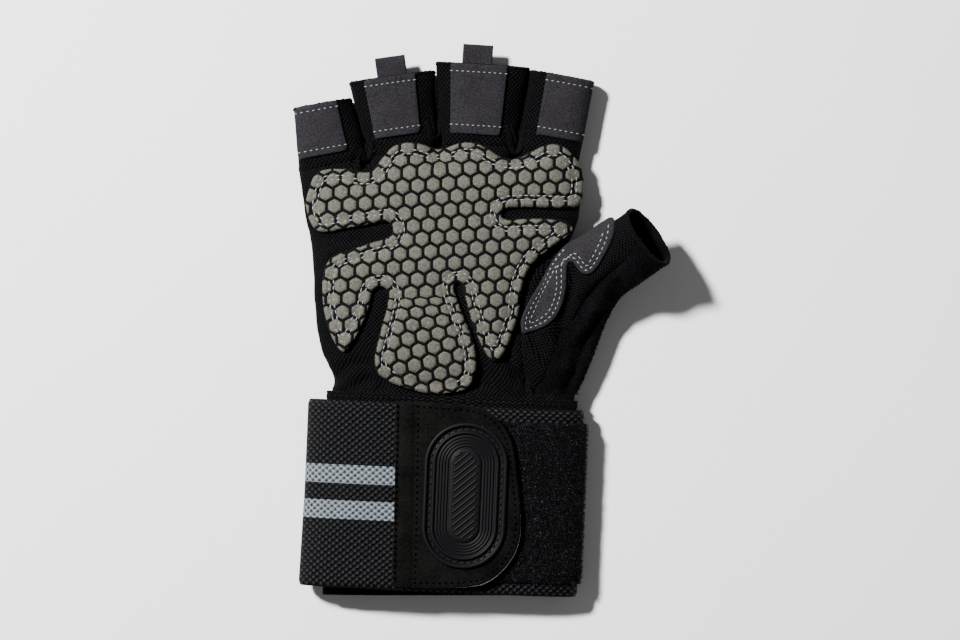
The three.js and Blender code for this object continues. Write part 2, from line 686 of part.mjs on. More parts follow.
function wrapPoint(turn, grow) {
  const power = 2 / WRAP_SQUARENESS;
  const bent = (v) => Math.sign(v) * Math.abs(v) ** power;
  const halfHeight = (WRAP_HEIGHT + UNDERSIDE_SAG) / 2;
  const middle = halfHeight - UNDERSIDE_SAG;
  return new THREE.Vector2(
    (STRAP_BASE_HALF + grow) * bent(Math.cos(turn)),
    Math.max(middle + (halfHeight + grow) * bent(Math.sin(turn)), -grow, 0),
  );
}

// The turn at which the wrap's upper side is over a given x.
const turnOver = (x, grow) =>
  Math.acos(Math.sign(x) * Math.abs(x / (STRAP_BASE_HALF + grow)) ** (WRAP_SQUARENESS / 2));

// A band laid round the wrap from one turn to another. It runs in a helix, lower turn by turn.
function wrapBand(fromTurn, toTurn, steps, inner, thickness, width) {
  const rings = Array.from({ length: steps + 1 }, (_, i) => {
    const turn = THREE.MathUtils.lerp(fromTurn, toTurn, i / steps);
    const drop = (WRAP_DROP_PER_TURN * (turn + 1.5 * Math.PI)) / (2 * Math.PI);
    const near = wrapPoint(turn, inner(turn));
    const away = wrapPoint(turn, inner(turn) + thickness);
    const corner = (p, side) => new THREE.Vector3(p.x, (side * width) / 2 - drop, p.y);
    return [corner(near, 1), corner(away, 1), corner(away, -1), corner(near, -1)];
  });
  return loft(rings);
}

// One strap: it starts on the palm side, goes right and under, and climbs onto itself on the left.
function strap() {
  const start = turnOver(STRAP_START_X, 0);
  const end = turnOver(STRAP_END_X, OUTER_TURN_RISE) - 2 * Math.PI;
  const climb = (turn) => THREE.MathUtils.smoothstep(-turn, 0.75 * Math.PI, 1.2 * Math.PI);
  const inner = (turn) => -STRAP_THICKNESS + climb(turn) * (OUTER_TURN_RISE + STRAP_THICKNESS);
  const band = wrapBand(start, end, STRAP_STEPS, inner, STRAP_THICKNESS, STRAP_WIDTH);
  return part("wrist_strap", band, WEBBING_BLACK);
}

function loopPanel() {
  const start = turnOver(LOOP_START_X, 0);
  const band = wrapBand(start, LOOP_END_TURN, LOOP_STEPS, () => SEAM_GAP, LOOP_THICKNESS, LOOP_WIDTH);
  return part("loop_panel", band, LOOP_BLACK);
}

// Everything between two distances from the wrap's base form.
function wrapLayer(low, high) {
  const steps = 2 * (STRAP_STEPS + 2);
  const outline = (grow) => Array.from({ length: steps }, (_, i) => wrapPoint((2 * i * Math.PI) / steps, grow));
  const ring = (grow) => along(outline(grow), 2 * STRAP_WIDTH);
  return ring(high).subtract(ring(low));
}

// The end flap: square where it is sewn to the strap, round at its free end.
function flapOutline(inset, left) {
  const half = STRAP_WIDTH / 2 - inset;
  const right = FLAP_RIGHT_X - inset;
  const round = FLAP_CORNER - inset;
  const swell = FLAP_CORNER / 12;
  return rounded([
    { x: left, y: half, r: FLAP_SEWN_CORNER },
    { x: right - swell, y: half, r: round },
    { x: right, y: 0, r: 4 * round },
    { x: right - swell, y: -half, r: round },
    { x: left, y: -half, r: FLAP_SEWN_CORNER },
  ]);
}

function flap() {
  const low = OUTER_TURN_RISE + STRAP_THICKNESS + SEAM_GAP;
  const outline = upright(flapOutline(0, FLAP_LEFT_X), WRAP_HEIGHT / 2);
  return part("strap_end_flap", wrapLayer(low, low + FLAP_THICKNESS).intersect(outline), NUBUCK_BLACK);
}

// Hook tape on the flap's underside, level with the strap that it butts against
function hookTape() {
  const low = OUTER_TURN_RISE;
  const outline = upright(flapOutline(HOOK_INSET, STRAP_END_X + SEAM_GAP + HOOK_SLACK), WRAP_HEIGHT / 2);
  return part("hook_tape", wrapLayer(low, low + STRAP_THICKNESS).intersect(outline), HOOK_BLACK);
}

function stadium(inset) {
  const half = BADGE_WIDTH / 2 - inset;
  const straight = BADGE_LENGTH / 2 - BADGE_WIDTH / 2;
  const end = (side) =>
    new THREE.EllipseCurve(BADGE_X, side * straight, half, half, side > 0 ? 0 : Math.PI,
      side > 0 ? Math.PI : 2 * Math.PI).getPoints(ARC_POINTS + 3);
  return upright([...end(1), ...end(-1)], WRAP_HEIGHT / 2);
}

// Moulded badge with a raised rim, an inner rib and a raised middle, all plain
function badge() {
  const low = OUTER_TURN_RISE + STRAP_THICKNESS + FLAP_THICKNESS + 2 * SEAM_GAP;
  const plate = wrapLayer(low, low + BADGE_PLATE).intersect(stadium(0));
  const relief = wrapLayer(low + BADGE_PLATE / 2, low + BADGE_PLATE + BADGE_RELIEF);
  const rib = (inset) => stadium(inset).subtract(stadium(inset + BADGE_RIB));
  const raised = [rib(2 * BADGE_RIB), rib(4 * BADGE_RIB), stadium(6 * BADGE_RIB)];
  return part("rubber_badge", plate.add(relief.intersect(joined(raised))), RUBBER_BLACK);
}

// Assembly

const wrap = new THREE.Group();
wrap.add(strap(), loopPanel(), hookTape(), flap(), badge());
wrap.rotation.z = -TILT;
wrap.position.set(WRAP_OFFSET_X, WRAP_CENTRE_Y, 0);

const glove = new THREE.Group();
glove.add(...clothParts(), gripPad(), thumbPatch(), wristTape(), wrap);
glove.add(...FINGERS.map(fingerBand));
glove.add(...FINGERS.filter((finger) => finger.tab !== null).map(pullTab));

// The origin goes to the bottom centre of the whole glove.
glove.updateMatrixWorld(true);
const reach = new THREE.Box3().setFromObject(glove);
const middle = reach.getCenter(new THREE.Vector3());
glove.position.set(-middle.x, -middle.y, -reach.min.z);

export default glove;
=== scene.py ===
# %% [markdown]
# # Weightlifting glove with a wrist wrap
# The real glove is cut from black mesh knit and terry, with suede bands on the fingers, a foam grip pad
# under printed cells, and a strap of ribbed webbing that closes with hook and loop. Each of these is a
# cloth of its own, so each gets its own form, edge and material here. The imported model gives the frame:
# metres, Z up, Y towards the fingers, X towards the thumb, and the floor at zero.

# %% The frame
import copy
import json
import math

import bmesh
import bpy
import numpy as np
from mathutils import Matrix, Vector
from mathutils.bvhtree import BVHTree
from mathutils.geometry import delaunay_2d_cdt

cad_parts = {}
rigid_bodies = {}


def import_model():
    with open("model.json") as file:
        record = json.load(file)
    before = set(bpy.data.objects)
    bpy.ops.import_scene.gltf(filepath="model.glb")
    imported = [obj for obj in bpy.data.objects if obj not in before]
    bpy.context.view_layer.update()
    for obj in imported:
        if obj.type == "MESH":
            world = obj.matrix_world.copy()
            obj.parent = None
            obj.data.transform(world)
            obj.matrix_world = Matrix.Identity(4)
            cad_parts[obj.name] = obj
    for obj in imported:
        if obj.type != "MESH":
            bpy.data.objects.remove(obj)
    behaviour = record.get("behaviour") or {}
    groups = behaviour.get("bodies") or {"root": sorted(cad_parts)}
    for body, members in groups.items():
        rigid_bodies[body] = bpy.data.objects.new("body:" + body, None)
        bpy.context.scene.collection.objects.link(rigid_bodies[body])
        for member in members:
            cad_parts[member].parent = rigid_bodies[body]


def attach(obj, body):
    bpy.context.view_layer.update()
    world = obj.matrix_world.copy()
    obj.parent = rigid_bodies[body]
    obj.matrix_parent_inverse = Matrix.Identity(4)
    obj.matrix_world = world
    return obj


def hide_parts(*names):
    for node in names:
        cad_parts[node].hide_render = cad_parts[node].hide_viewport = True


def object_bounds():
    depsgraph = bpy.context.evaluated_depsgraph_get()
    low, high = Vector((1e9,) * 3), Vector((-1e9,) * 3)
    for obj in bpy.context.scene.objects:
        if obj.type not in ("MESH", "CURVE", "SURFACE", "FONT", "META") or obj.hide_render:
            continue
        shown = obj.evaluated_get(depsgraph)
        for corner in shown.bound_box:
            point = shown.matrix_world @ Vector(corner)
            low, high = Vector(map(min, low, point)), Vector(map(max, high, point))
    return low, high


for left_over in list(bpy.data.objects):
    bpy.data.objects.remove(left_over)
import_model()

CAD_LOW, CAD_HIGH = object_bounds()
MM = 0.001
SHIFT = np.array([-13.245, -30.913, 0.0])
PIXEL = 0.55
RNG = np.random.default_rng(7)
print("packed box, mm:", [round(v / MM, 1) for v in (*CAD_LOW, *CAD_HIGH)])

# %% [markdown]
# ## Small helpers
# Points measured on the photograph come in pixels, at 0.55 mm each. The glove lies flat under the
# camera, so a pixel is a place on the table, and the height comes from the form below it.

# %% Places and lines
def spot(points):
    """Places on the table, in mm, of pixels of the photograph."""
    p = np.array(points, float)
    return np.column_stack([(p[:, 0] - 620.5) * PIXEL, (376 - p[:, 1]) * PIXEL]) + SHIFT[:2]


def resampled(line, step, closed=False):
    """The same line with points at even steps."""
    line = np.asarray(line, float)
    if closed:
        line = np.vstack([line, line[:1]])
    run = np.r_[0, np.cumsum(np.linalg.norm(np.diff(line, axis=0), axis=1))]
    count = max(2, int(round(run[-1] / step)) + 1)
    at = np.linspace(0, run[-1], count)
    out = np.column_stack([np.interp(at, run, line[:, k]) for k in range(line.shape[1])])
    return out[:-1] if closed else out


def curved(points, step, closed=False):
    """A smooth line through measured points."""
    p = np.asarray(points, float)
    n = len(p)
    out = []
    for i in range(n if closed else n - 1):
        a, b, c, d = (p[j % n] if closed else p[min(max(j, 0), n - 1)] for j in range(i - 1, i + 3))
        for u in np.linspace(0, 1, 8, endpoint=False):
            out.append(0.5 * (2 * b + (c - a) * u + (2 * a - 5 * b + 4 * c - d) * u**2
                              + (3 * b - a - 3 * c + d) * u**3))
    if not closed:
        out.append(p[-1])
    return resampled(out, step, closed)

# %% Reading a table between its rows
def between(knots, values, at):
    """Rows of a table read at places between its knots, on smooth curves that never overshoot."""
    knots, values, at = (np.asarray(v, float) for v in (knots, values, at))
    h = np.diff(knots)[:, None]
    d = np.diff(values, axis=0) / h
    m = np.vstack([d[:1], np.zeros_like(d[1:]), d[-1:]])
    same = d[:-1] * d[1:] > 0
    safe = np.where(same, d[:-1], 1), np.where(same, d[1:], 1)
    w = 2 * h[1:] + h[:-1], h[1:] + 2 * h[:-1]
    m[1:-1] = np.where(same, (w[0] + w[1]) / (w[0] / safe[0] + w[1] / safe[1]), 0)
    i = np.clip(np.searchsorted(knots, at) - 1, 0, len(knots) - 2)
    t = ((at - knots[i]) / h[i, 0])[:, None]
    return (values[i] * (1 + 2 * t) * (1 - t) ** 2 + m[i] * h[i] * t * (1 - t) ** 2
            + values[i + 1] * t**2 * (3 - 2 * t) + m[i + 1] * h[i] * t**2 * (t - 1))

# %% Distance from a line, and inside or outside of an outline
def far_from(points, line, closed=True):
    """Distance of each point from a line, all in mm."""
    a = np.asarray(line)
    b = np.roll(a, -1, axis=0) if closed else a[1:]
    a = a if closed else a[:-1]
    out = np.full(len(points), 1e9)
    for s in range(0, len(points), 2000):
        p = np.asarray(points)[s:s + 2000, None, :2]
        ab = (b - a)[None]
        t = np.clip(((p - a) * ab).sum(2) / np.maximum((ab**2).sum(2), 1e-12), 0, 1)
        out[s:s + 2000] = np.linalg.norm(p - a - t[..., None] * ab, axis=2).min(1)
    return out


def inside(points, outline):
    """Whether each point lies within a closed outline."""
    p = np.asarray(points)
    x, y = p[:, 0], p[:, 1]
    hit = np.zeros(len(p), bool)
    for (x0, y0), (x1, y1) in zip(outline, np.roll(outline, -1, axis=0)):
        if y0 != y1:
            hit ^= ((y0 > y) != (y1 > y)) & (x < (x1 - x0) * (y - y0) / (y1 - y0) + x0)
    return hit


def turned_in(outline, inset):
    """The outline moved inwards, without the stretches that would cross over."""
    area = np.sum(outline[:, 0] * np.roll(outline[:, 1], -1) - outline[:, 1] * np.roll(outline[:, 0], -1))
    on = np.roll(outline, -1, axis=0) - np.roll(outline, 1, axis=0)
    on /= np.linalg.norm(on, axis=1)[:, None]
    moved = outline + np.sign(area) * inset * np.column_stack([-on[:, 1], on[:, 0]])
    return moved[far_from(moved, outline) > 0.96 * abs(inset)]

# %% [markdown]
# ## From points to objects
# All shapes are worked out with numpy in millimetres, because whole arrays are quick and the numbers
# can be held against a ruler. One function turns points and faces into an object in metres, and one
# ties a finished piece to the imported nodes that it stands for.

# %% Helpers for meshes
def place(name, points, faces, materials=(), marks=None, uvs=None, smooth=True):
    """A mesh object from points in mm."""
    mesh = bpy.data.meshes.new(name)
    mesh.from_pydata((np.asarray(points) * MM).tolist(), [], [list(map(int, f)) for f in faces])
    for m in materials:
        mesh.materials.append(m)
    if marks is not None:
        mesh.polygons.foreach_set("material_index", np.asarray(marks, np.int32))
    if smooth:
        mesh.polygons.foreach_set("use_smooth", np.ones(len(mesh.polygons), bool))
    if uvs is not None:
        layer = mesh.uv_layers.new(name="cloth")
        corner = np.empty(len(mesh.loops), np.int32)
        mesh.loops.foreach_get("vertex_index", corner)
        layer.data.foreach_set("uv", (np.asarray(uvs, float)[corner] * MM).ravel())
    mesh.update()
    made = bpy.data.objects.new(name, mesh)
    bpy.context.scene.collection.objects.link(made)
    return made


def applied(piece):
    """The same object with its modifiers made real."""
    graph = bpy.context.evaluated_depsgraph_get()
    done = bpy.data.meshes.new_from_object(piece.evaluated_get(graph), preserve_all_data_layers=True,
                                           depsgraph=graph)
    piece.modifiers.clear()
    old, piece.data = piece.data, done
    bpy.data.meshes.remove(old)
    return piece


def points_of(piece):
    """Its points, in mm."""
    flat = np.empty(len(piece.data.vertices) * 3)
    piece.data.vertices.foreach_get("co", flat)
    return flat.reshape(-1, 3) / MM


def normals_of(piece):
    """The directions in which its points face."""
    flat = np.empty(len(piece.data.vertices) * 3)
    piece.data.vertices.foreach_get("normal", flat)
    return flat.reshape(-1, 3)


def grid_faces(rows, columns, around=False):
    """Quads between rows of points."""
    last = columns if around else columns - 1
    return [(r * columns + c, r * columns + (c + 1) % columns, (r + 1) * columns + (c + 1) % columns,
             (r + 1) * columns + c) for r in range(rows - 1) for c in range(last)]


def stands_for(piece, slot, *nodes):
    """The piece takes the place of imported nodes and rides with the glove."""
    if nodes:
        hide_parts(*nodes)
    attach(piece, "root")
    return piece

# %% [markdown]
# ## Materials
# Colours are written as screen values and turned to linear light by one function. The key light is strong
# and the render's tone curve lifts the darks, so the codes of black cloth are darker than the black that
# the eye sees in the picture. Cloth, leather, rubber and thread are plastics or proteins that reflect
# with an index near 1.5, which is Blender's own default. Their fibres trap most of that reflection, so
# roughness is high and the reflection is turned down, and a little sheen stands in for the fibre ends.
#
# Patterns could be painted as images, but a pattern made by nodes stays sharp at every distance. Each
# takes its scale from the real cloth: a mesh hole every 1.7 mm, a pearl of webbing every 2.75 mm.

# %% One function for colours and one for nodes
def tint(code):
    """Linear colour of a screen colour written as hex."""
    parts = [int(code[i:i + 2], 16) / 255 for i in (0, 2, 4)]
    return (*[c / 12.92 if c <= 0.04045 else ((c + 0.055) / 1.055) ** 2.4 for c in parts], 1.0)


def add(tree, kind, inputs=None, **settings):
    """A node with its settings, and its sockets set or linked."""
    made = tree.nodes.new(kind)
    for key, value in settings.items():
        setattr(made, key, value)
    for key, value in (inputs or {}).items():
        if isinstance(value, bpy.types.NodeSocket):
            tree.links.new(value, made.inputs[key])
        else:
            made.inputs[key].default_value = value
    return made


def surface(name, roughness, **sockets):
    """A new material, its tree and its shader."""
    made = bpy.data.materials.new(name)
    made.use_nodes = True
    tree = made.node_tree
    shader = tree.nodes["Principled BSDF"]
    shader.inputs["Roughness"].default_value = roughness
    for key, value in sockets.items():
        shader.inputs[key.replace("_", " ")].default_value = value
    return made, tree, shader


def maths(tree, operation, a, b=0.0):
    """The result of one sum on values or links."""
    return add(tree, "ShaderNodeMath", {0: a, 1: b}, operation=operation).outputs[0]

# %% Patterns that several materials share
def pearls(tree, across, along):
    """Staggered rows of bumps: high where thread comes up, low in between."""
    where = add(tree, "ShaderNodeSeparateXYZ", {0: add(tree, "ShaderNodeUVMap", uv_map="cloth").outputs[0]})
    wave = [maths(tree, "COSINE", maths(tree, "MULTIPLY", where.outputs[k], 2 * math.pi / (size * MM)))
            for k, size in ((0, across), (1, along))]
    return maths(tree, "MULTIPLY", *wave)


def speckle(tree, size, detail=2.0, rough=0.55):
    """Noise whose grains are about size mm."""
    where = add(tree, "ShaderNodeTexCoord").outputs["Object"]
    return add(tree, "ShaderNodeTexNoise", {"Vector": where, "Scale": 1 / (size * MM), "Detail": detail,
                                            "Roughness": rough}).outputs["Fac"]


def blended(tree, share, low, high, start=0.0, end=1.0):
    """A colour between two, by a value between start and end."""
    ramp = add(tree, "ShaderNodeValToRGB", {"Fac": share})
    for stop, place_at, code in zip(ramp.color_ramp.elements, (start, end), (low, high)):
        stop.position, stop.color = place_at, tint(code)
    return ramp.outputs["Color"]


def raised(tree, shader, height, depth, strength=1.0, under=None):
    """Bump of a real depth in mm."""
    sockets = {"Height": height, "Distance": depth * MM, "Strength": strength}
    if under is not None:
        sockets["Normal"] = under
    bump = add(tree, "ShaderNodeBump", sockets).outputs["Normal"]
    tree.links.new(bump, shader.inputs["Normal"])
    return bump

# %% [markdown]
# ## Cloth and leather
# The hand is warp-knitted polyester mesh, the thumb's outer half is terry, and bands, tabs and patch are
# split suede. Knit shows as staggered dark holes. A napped cloth shows no threads, only a fine grain and
# slow clouds where the nap lies one way or the other. Naps are some hundredths of a millimetre fine,
# which no pixel can hold here, so they are drawn with grains of 0.5 to 0.9 mm.

# %% Knit, terry and suede
def knit_cloth(name, low, high, across=1.7, along=1.5):
    """Mesh knit: staggered holes in dark yarn, hardly any shine."""
    made, tree, shader = surface(name, 0.8, Specular_IOR_Level=0.025, Sheen_Weight=0.005, Sheen_Roughness=0.4)
    loops = maths(tree, "MULTIPLY", pearls(tree, across, along), 0.5)
    share = maths(tree, "ADD", loops, speckle(tree, 0.7))
    tree.links.new(blended(tree, share, low, high, 0.35, 0.95), shader.inputs["Base Color"])
    under = raised(tree, shader, speckle(tree, 0.4), 0.25, 0.8)
    raised(tree, shader, loops, 0.35, 1.0, under)
    return made


def plain_cloth(name, low, high, grain, depth, roughness=0.9, sheen=0.03, broad=9.0, painted_glint=None,
                cloud=0.4):
    """Napped or looped cloth: fine grain, a slow change of shade, and on pile a few painted glints of fibre.
    """
    made, tree, shader = surface(name, roughness, Specular_IOR_Level=0.03, Sheen_Weight=sheen / 4,
                                 Sheen_Roughness=0.5)
    fine, slow = speckle(tree, grain, 3.0), speckle(tree, broad)
    share = maths(tree, "ADD", maths(tree, "MULTIPLY", fine, 1 - cloud), maths(tree, "MULTIPLY", slow, cloud))
    colour = blended(tree, share, low, high, 0.35, 0.65)
    if painted_glint:
        # Painted glints: bright specks mixed into the base colour by noise
        painted_glint_mask = blended(tree, speckle(tree, 0.42, 1.0), "000000", "ffffff", 0.66, 0.72)
        mixed = add(tree, "ShaderNodeMix", {0: painted_glint_mask, 6: colour, 7: tint(painted_glint)}, data_type="RGBA")
        colour = mixed.outputs[2]
    tree.links.new(colour, shader.inputs["Base Color"])
    raised(tree, shader, fine, depth)
    return made

# %% The cloths and leathers
# Warp-knitted polyester mesh: a matt black with rows of small darker holes
KNIT = knit_cloth("mesh_knit", "010101", "121214")
# The same yarn, knitted more open for the finger sides: a shade darker, with coarser holes
GORE = knit_cloth("finger_side_mesh", "010101", "0f0f11", 2.0, 1.8)
# Looped cotton terry: the deepest black of the glove, with no shine at all
TERRY = plain_cloth("looped_terry", "000000", "09090b", 0.8, 0.6, 0.95)
# Split suede, dyed and buffed: an even charcoal grey whose nap goes lighter towards grazing light
SUEDE = plain_cloth("grey_suede", "111013", "29272a", 0.5, 0.25, 0.92, 0.05, 7.0, cloud=0.15)
# Sanded nubuck: a warm black, mottled where the nap was brushed
NUBUCK = plain_cloth("black_nubuck", "020202", "0e0e0d", 0.8, 0.3, 0.88)
# Brushed nylon loop pile: black, with scattered painted glints where fibre ends would catch the light
LOOP = plain_cloth("loop_pile", "010101", "0a0a0b", 0.6, 0.6, 0.9, 0.03, 4.0, "3c3f44")
# Woven binding tape: a close black weave
BINDING = knit_cloth("binding_tape", "010101", "131315", 1.9, 1.3)
# Overlocked yarn: a rough black rim that catches small lights
OVERLOCK = plain_cloth("overlocked_edge", "010101", "0c0c0e", 0.5, 0.3, 0.9)
print("cloths and leathers:", len(bpy.data.materials))

# %% [markdown]
# ## Polymers and thread
# The grip cells are a soft polymer printed on the pad's cover and left with a sandy skin, the badge is
# moulded rubber, and the hook tape is moulded nylon. Spun polyester thread has the soft gleam of plastic
# too. All of them are one kind of surface: a fine noise that drives both the shade and a shallow bump.

# %% Moulded and spun plastics
def moulded(name, low, high, grain, depth, roughness, **sockets):
    """Moulded or spun plastic with a fine grain."""
    made, tree, shader = surface(name, roughness, **sockets)
    fine = speckle(tree, grain, 4.0, 0.7)
    tree.links.new(blended(tree, fine, low, high, 0.3, 0.7), shader.inputs["Base Color"])
    raised(tree, shader, fine, depth)
    return made


# Printed polymer: a warm stone grey, matt and sandy, the brightest large area of the glove
CELL = moulded("grip_cell_polymer", "2d2c27", "5a5850", 0.75, 0.09, 0.75, Specular_IOR_Level=0.13)
# Knitted cover of the foam: the black net between the cells
FOAM_COVER = plain_cloth("pad_mesh_cover", "030303", "0e0e0f", 0.6, 0.2)
# Pale spun thread: bright dashes that draw the seams of pad, bands and patch
THREAD = moulded("polyester_thread", "5d6060", "7b7e7e", 0.2, 0.05, 0.6, Sheen_Weight=0.03)
# Black spun thread: seen by its small highlights alone
DARK_THREAD = moulded("black_thread", "020203", "0c0c0e", 0.2, 0.05, 0.6, Specular_IOR_Level=0.1)
# Black thread set into the nubuck, pure black and without reflection: painted shade of the stitch holes, seen
# as a row of dark pits
PIT_SHADE_THREAD = moulded("black_thread_painted_pit_shade", "000000", "020202", 0.2, 0.05, 0.95, Specular_IOR_Level=0.0)
# Moulded rubber: a dark grey with soft lights on each ridge
RUBBER = moulded("moulded_rubber", "060607", "0d0d0f", 0.35, 0.05, 0.5, Specular_IOR_Level=0.08)
# Moulded nylon hooks: real hook tape, coloured pale as the painted highlight of its glossy edge, a thin line
# below the flap
HOOK = moulded("hook_tape_plastic_painted_glint", "8f918f", "b5b7b5", 0.4, 0.05, 0.4)
print("with polymers and thread:", len(bpy.data.materials))

# %% [markdown]
# ## Webbing
# Elastic webbing is woven of thick yarns, and where a yarn comes up it shows as a pearl, 2.4 mm from the
# next across the strap and staggered from row to row. The two pale stripes are the same weave in pale
# yarn, so they are bands of the strap's own pattern and not pieces laid on top. The strap's UV map is in
# real lengths, which lets pearls and stripes be given in mm.

# %% Webbing with two stripes
def webbing(name, stripes):
    """Ribbed webbing; stripes are (low, high) mm across the strap, woven in pale yarn."""
    made, tree, shader = surface(name, 0.6, Specular_IOR_Level=0.06, Sheen_Weight=0.005)
    yarn = pearls(tree, 2.75, 2.4)
    share = maths(tree, "ADD", maths(tree, "MULTIPLY", yarn, 0.5), speckle(tree, 0.5))
    # Painted shade and highlight: black between the pearls and lighter on their tops, with random tone from
    # the noise
    colour = blended(tree, share, "000000", "222327", 0.52, 1.05)
    # Pale yarn of the stripes, with the same painted shade between the pearls and painted highlight on them
    pale = blended(tree, share, "0e1013", "6b7378", 0.05, 0.8)
    where = add(tree, "ShaderNodeSeparateXYZ", {0: add(tree, "ShaderNodeUVMap", uv_map="cloth").outputs[0]})
    for low, high in stripes:
        band = maths(tree, "MULTIPLY", maths(tree, "GREATER_THAN", where.outputs[1], low * MM),
                     maths(tree, "LESS_THAN", where.outputs[1], high * MM))
        colour = add(tree, "ShaderNodeMix", {0: band, 6: colour, 7: pale}, data_type="RGBA").outputs[2]
    tree.links.new(colour, shader.inputs["Base Color"])
    raised(tree, shader, yarn, 0.25)
    return made


# Low and high edge of each stripe, in mm from the strap's middle line
STRAP_STRIPES = [(4.1, 11.2), (-9.5, -2.4)]
# Woven polyester: black pearls painted lighter on their tops as a painted highlight and darker between them
# as painted shade, and stripes of a cool light grey
WEBBING = webbing("striped_webbing", STRAP_STRIPES)
print("materials:", len(bpy.data.materials))

# %% [markdown]
# ## The hand form
# An empty glove is a set of soft tubes. The palm, four short fingers and the thumb are each a closed
# tube through measured sections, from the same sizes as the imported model, in mm. A voxel remesh melts
# them into one skin, so the crotches are rounded as stretched cloth is.

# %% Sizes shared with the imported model, in mm
PALM_W, PALM_L, PALM_H = 106.0, 98.0, 15.5
FINGER_L, FINGER_H, FINGER_ROOT, SAG, WALL = 32.0, 11.0, 12.0, 0.6, 1.4
THUMB_W, THUMB_H, THUMB_REACH, THUMB_LIFT = 30.0, 16.5, 73.0, 18.5
TILT = math.radians(2.4)
WRAP_X, WRAP_Y = -0.2, -37.05
STRAP_W, STRAP_T, WRAP_HALF, WRAP_H = 71.5, 1.5, 52.3, 16.0
CUFF_LIFT, CUFF_HALF, TAPE_TOP = 2.9, 47.2, 3.98

# Share of the length, left, right, share of the height, how far the underside is lifted
PALM = [
    (0.073, -0.409, 0.432, 0.83, 0.7), (0.14, -0.427, 0.4, 0.93, 0.3), (0.253, -0.466, 0.375, 0.98, 0.08),
    (0.38, -0.476, 0.38, 1.0, 0), (0.505, -0.484, 0.41, 1.0, 0), (0.59, -0.49, 0.4375, 0.98, 0),
    (0.66, -0.5, 0.47, 0.96, 0), (0.73, -0.512, 0.488, 0.93, 0), (0.815, -0.523, 0.495, 0.88, 0),
    (0.916, -0.544, 0.495, 0.79, 0),
]
# Name, place of the root, width at root and tip, length, lean in degrees, then the band's length and its
# two sides, and where the pull tab is
FINGERS = [
    ("little", -0.411, 0.91, 0.252, 0.208, 0.785, -10.1, 0.61, -0.9, 0.56, None),
    ("ring", -0.154, 0.966, 0.25, 0.297, 0.9375, -7.9, 0.715, -0.7, 0.56, 0.0),
    ("middle", 0.1135, 0.9915, 0.276, 0.328, 0.99, 3.7, 0.835, -0.69, 0.57, -0.17),
    ("index", 0.373, 0.949, 0.23, 0.236, 1.0, 10.1, 0.74, -0.5, 1.2, None),
]
# Place of a section, its width and height, how high its middle is, and where its seam is
THUMB = [
    (0.5, 0.1, 0.98, 0.6, -0.02, 0.07), (0.535, 0.19, 1.02, 0.74, -0.02, 0.05),
    (0.585, 0.3, 0.995, 0.84, -0.04, 0.05), (0.66, 0.475, 0.96, 0.93, 0.0, 0.23),
    (0.753, 0.64, 0.95, 0.98, 0.17, 0.4), (0.859, 0.723, 0.87, 1.0, 0.41, 0.35),
    (0.964, 0.791, 0.85, 1.0, 0.69, 0.2), (1.055, 0.855, 0.84, 1.02, 0.96, -0.1),
]
THUMB_SEAM = [(0.8, 1.3), (0.745, 0.97), (0.665, 0.842), (0.53, 0.75), (0.44, 0.635), (0.4, 0.48),
              (0.395, 0.33), (0.41, 0.18), (0.43, 0.035)]
print("sections: palm", len(PALM), "fingers", len(FINGERS), "thumb", len(THUMB))

# %% Ovals and tubes
def oval(count, half_w, half_h, power):
    """Points of a squarish oval; power 2 is an ellipse."""
    turn = np.linspace(0, 2 * np.pi, count, endpoint=False)
    bent = lambda v: np.sign(v) * np.abs(v) ** (2 / power)
    return half_w * bent(np.cos(turn)), half_h * bent(np.sin(turn))


def tube(name, rings):
    """A closed tube through rings of points in mm, capped at both ends."""
    count = len(rings[0])
    points = np.vstack([*rings, rings[0].mean(0), rings[-1].mean(0)])
    n = len(rings) * count
    faces = grid_faces(len(rings), count, True)
    faces += [(n, (i + 1) % count, i) for i in range(count)]
    faces += [(n + 1, n - count + i, n - count + (i + 1) % count) for i in range(count)]
    return place(name, points + SHIFT, faces)

# %% Sections of the palm
CUFF_ASIDE = 1.1


def cuff_row(y):
    """The narrow, round section inside the wrap."""
    middle = WRAP_X + (y - WRAP_Y) * math.tan(TILT) + CUFF_ASIDE
    return y, middle - CUFF_HALF, middle + CUFF_HALF, CUFF_LIFT, WRAP_H - CUFF_LIFT


ROWS = np.array(
    [cuff_row(WRAP_Y - STRAP_W / 2 - 3), cuff_row(WRAP_Y), cuff_row(TAPE_TOP)]
    + [(a * PALM_L, l * PALM_W, r * PALM_W, lift * CUFF_LIFT - (1 - lift) * SAG, top * PALM_H)
       for a, l, r, top, lift in PALM])


PALM_SQUARENESS, FINGER_SQUARENESS, THUMB_SQUARENESS = 2.7, 2.5, 2.3


def palm_rings(step=1.5):
    """Sections of the palm from the cuff to the knuckles, flat where they lie on the table."""
    y = np.arange(ROWS[0, 0], ROWS[-1, 0] + 0.1, step)
    left, right, low, top = between(ROWS[:, 0], ROWS[:, 1:], y).T
    rings = []
    for i in range(len(y)):
        x, z = oval(110, (right[i] - left[i]) / 2, (top[i] - low[i]) / 2, PALM_SQUARENESS)
        z = np.maximum((top[i] + low[i]) / 2 + z, 0)
        rings.append(np.column_stack([(left[i] + right[i]) / 2 + x, np.full_like(x, y[i]), z]))
    return rings

# %% Sections of a finger
def finger_axes(finger):
    """Root, direction, side, length and half widths at root and tip."""
    _, x, y, root, tip, length, lean = finger[:7]
    a = math.radians(lean)
    return (np.array([x * PALM_W, y * PALM_L]), np.array([math.sin(a), math.cos(a)]),
            np.array([math.cos(a), -math.sin(a)]), length * FINGER_L, root * PALM_W / 2, tip * PALM_W / 2)


# How far a finger's side is held back, so that two fingers don't melt together, in mm
MELT_GAP = 0.45


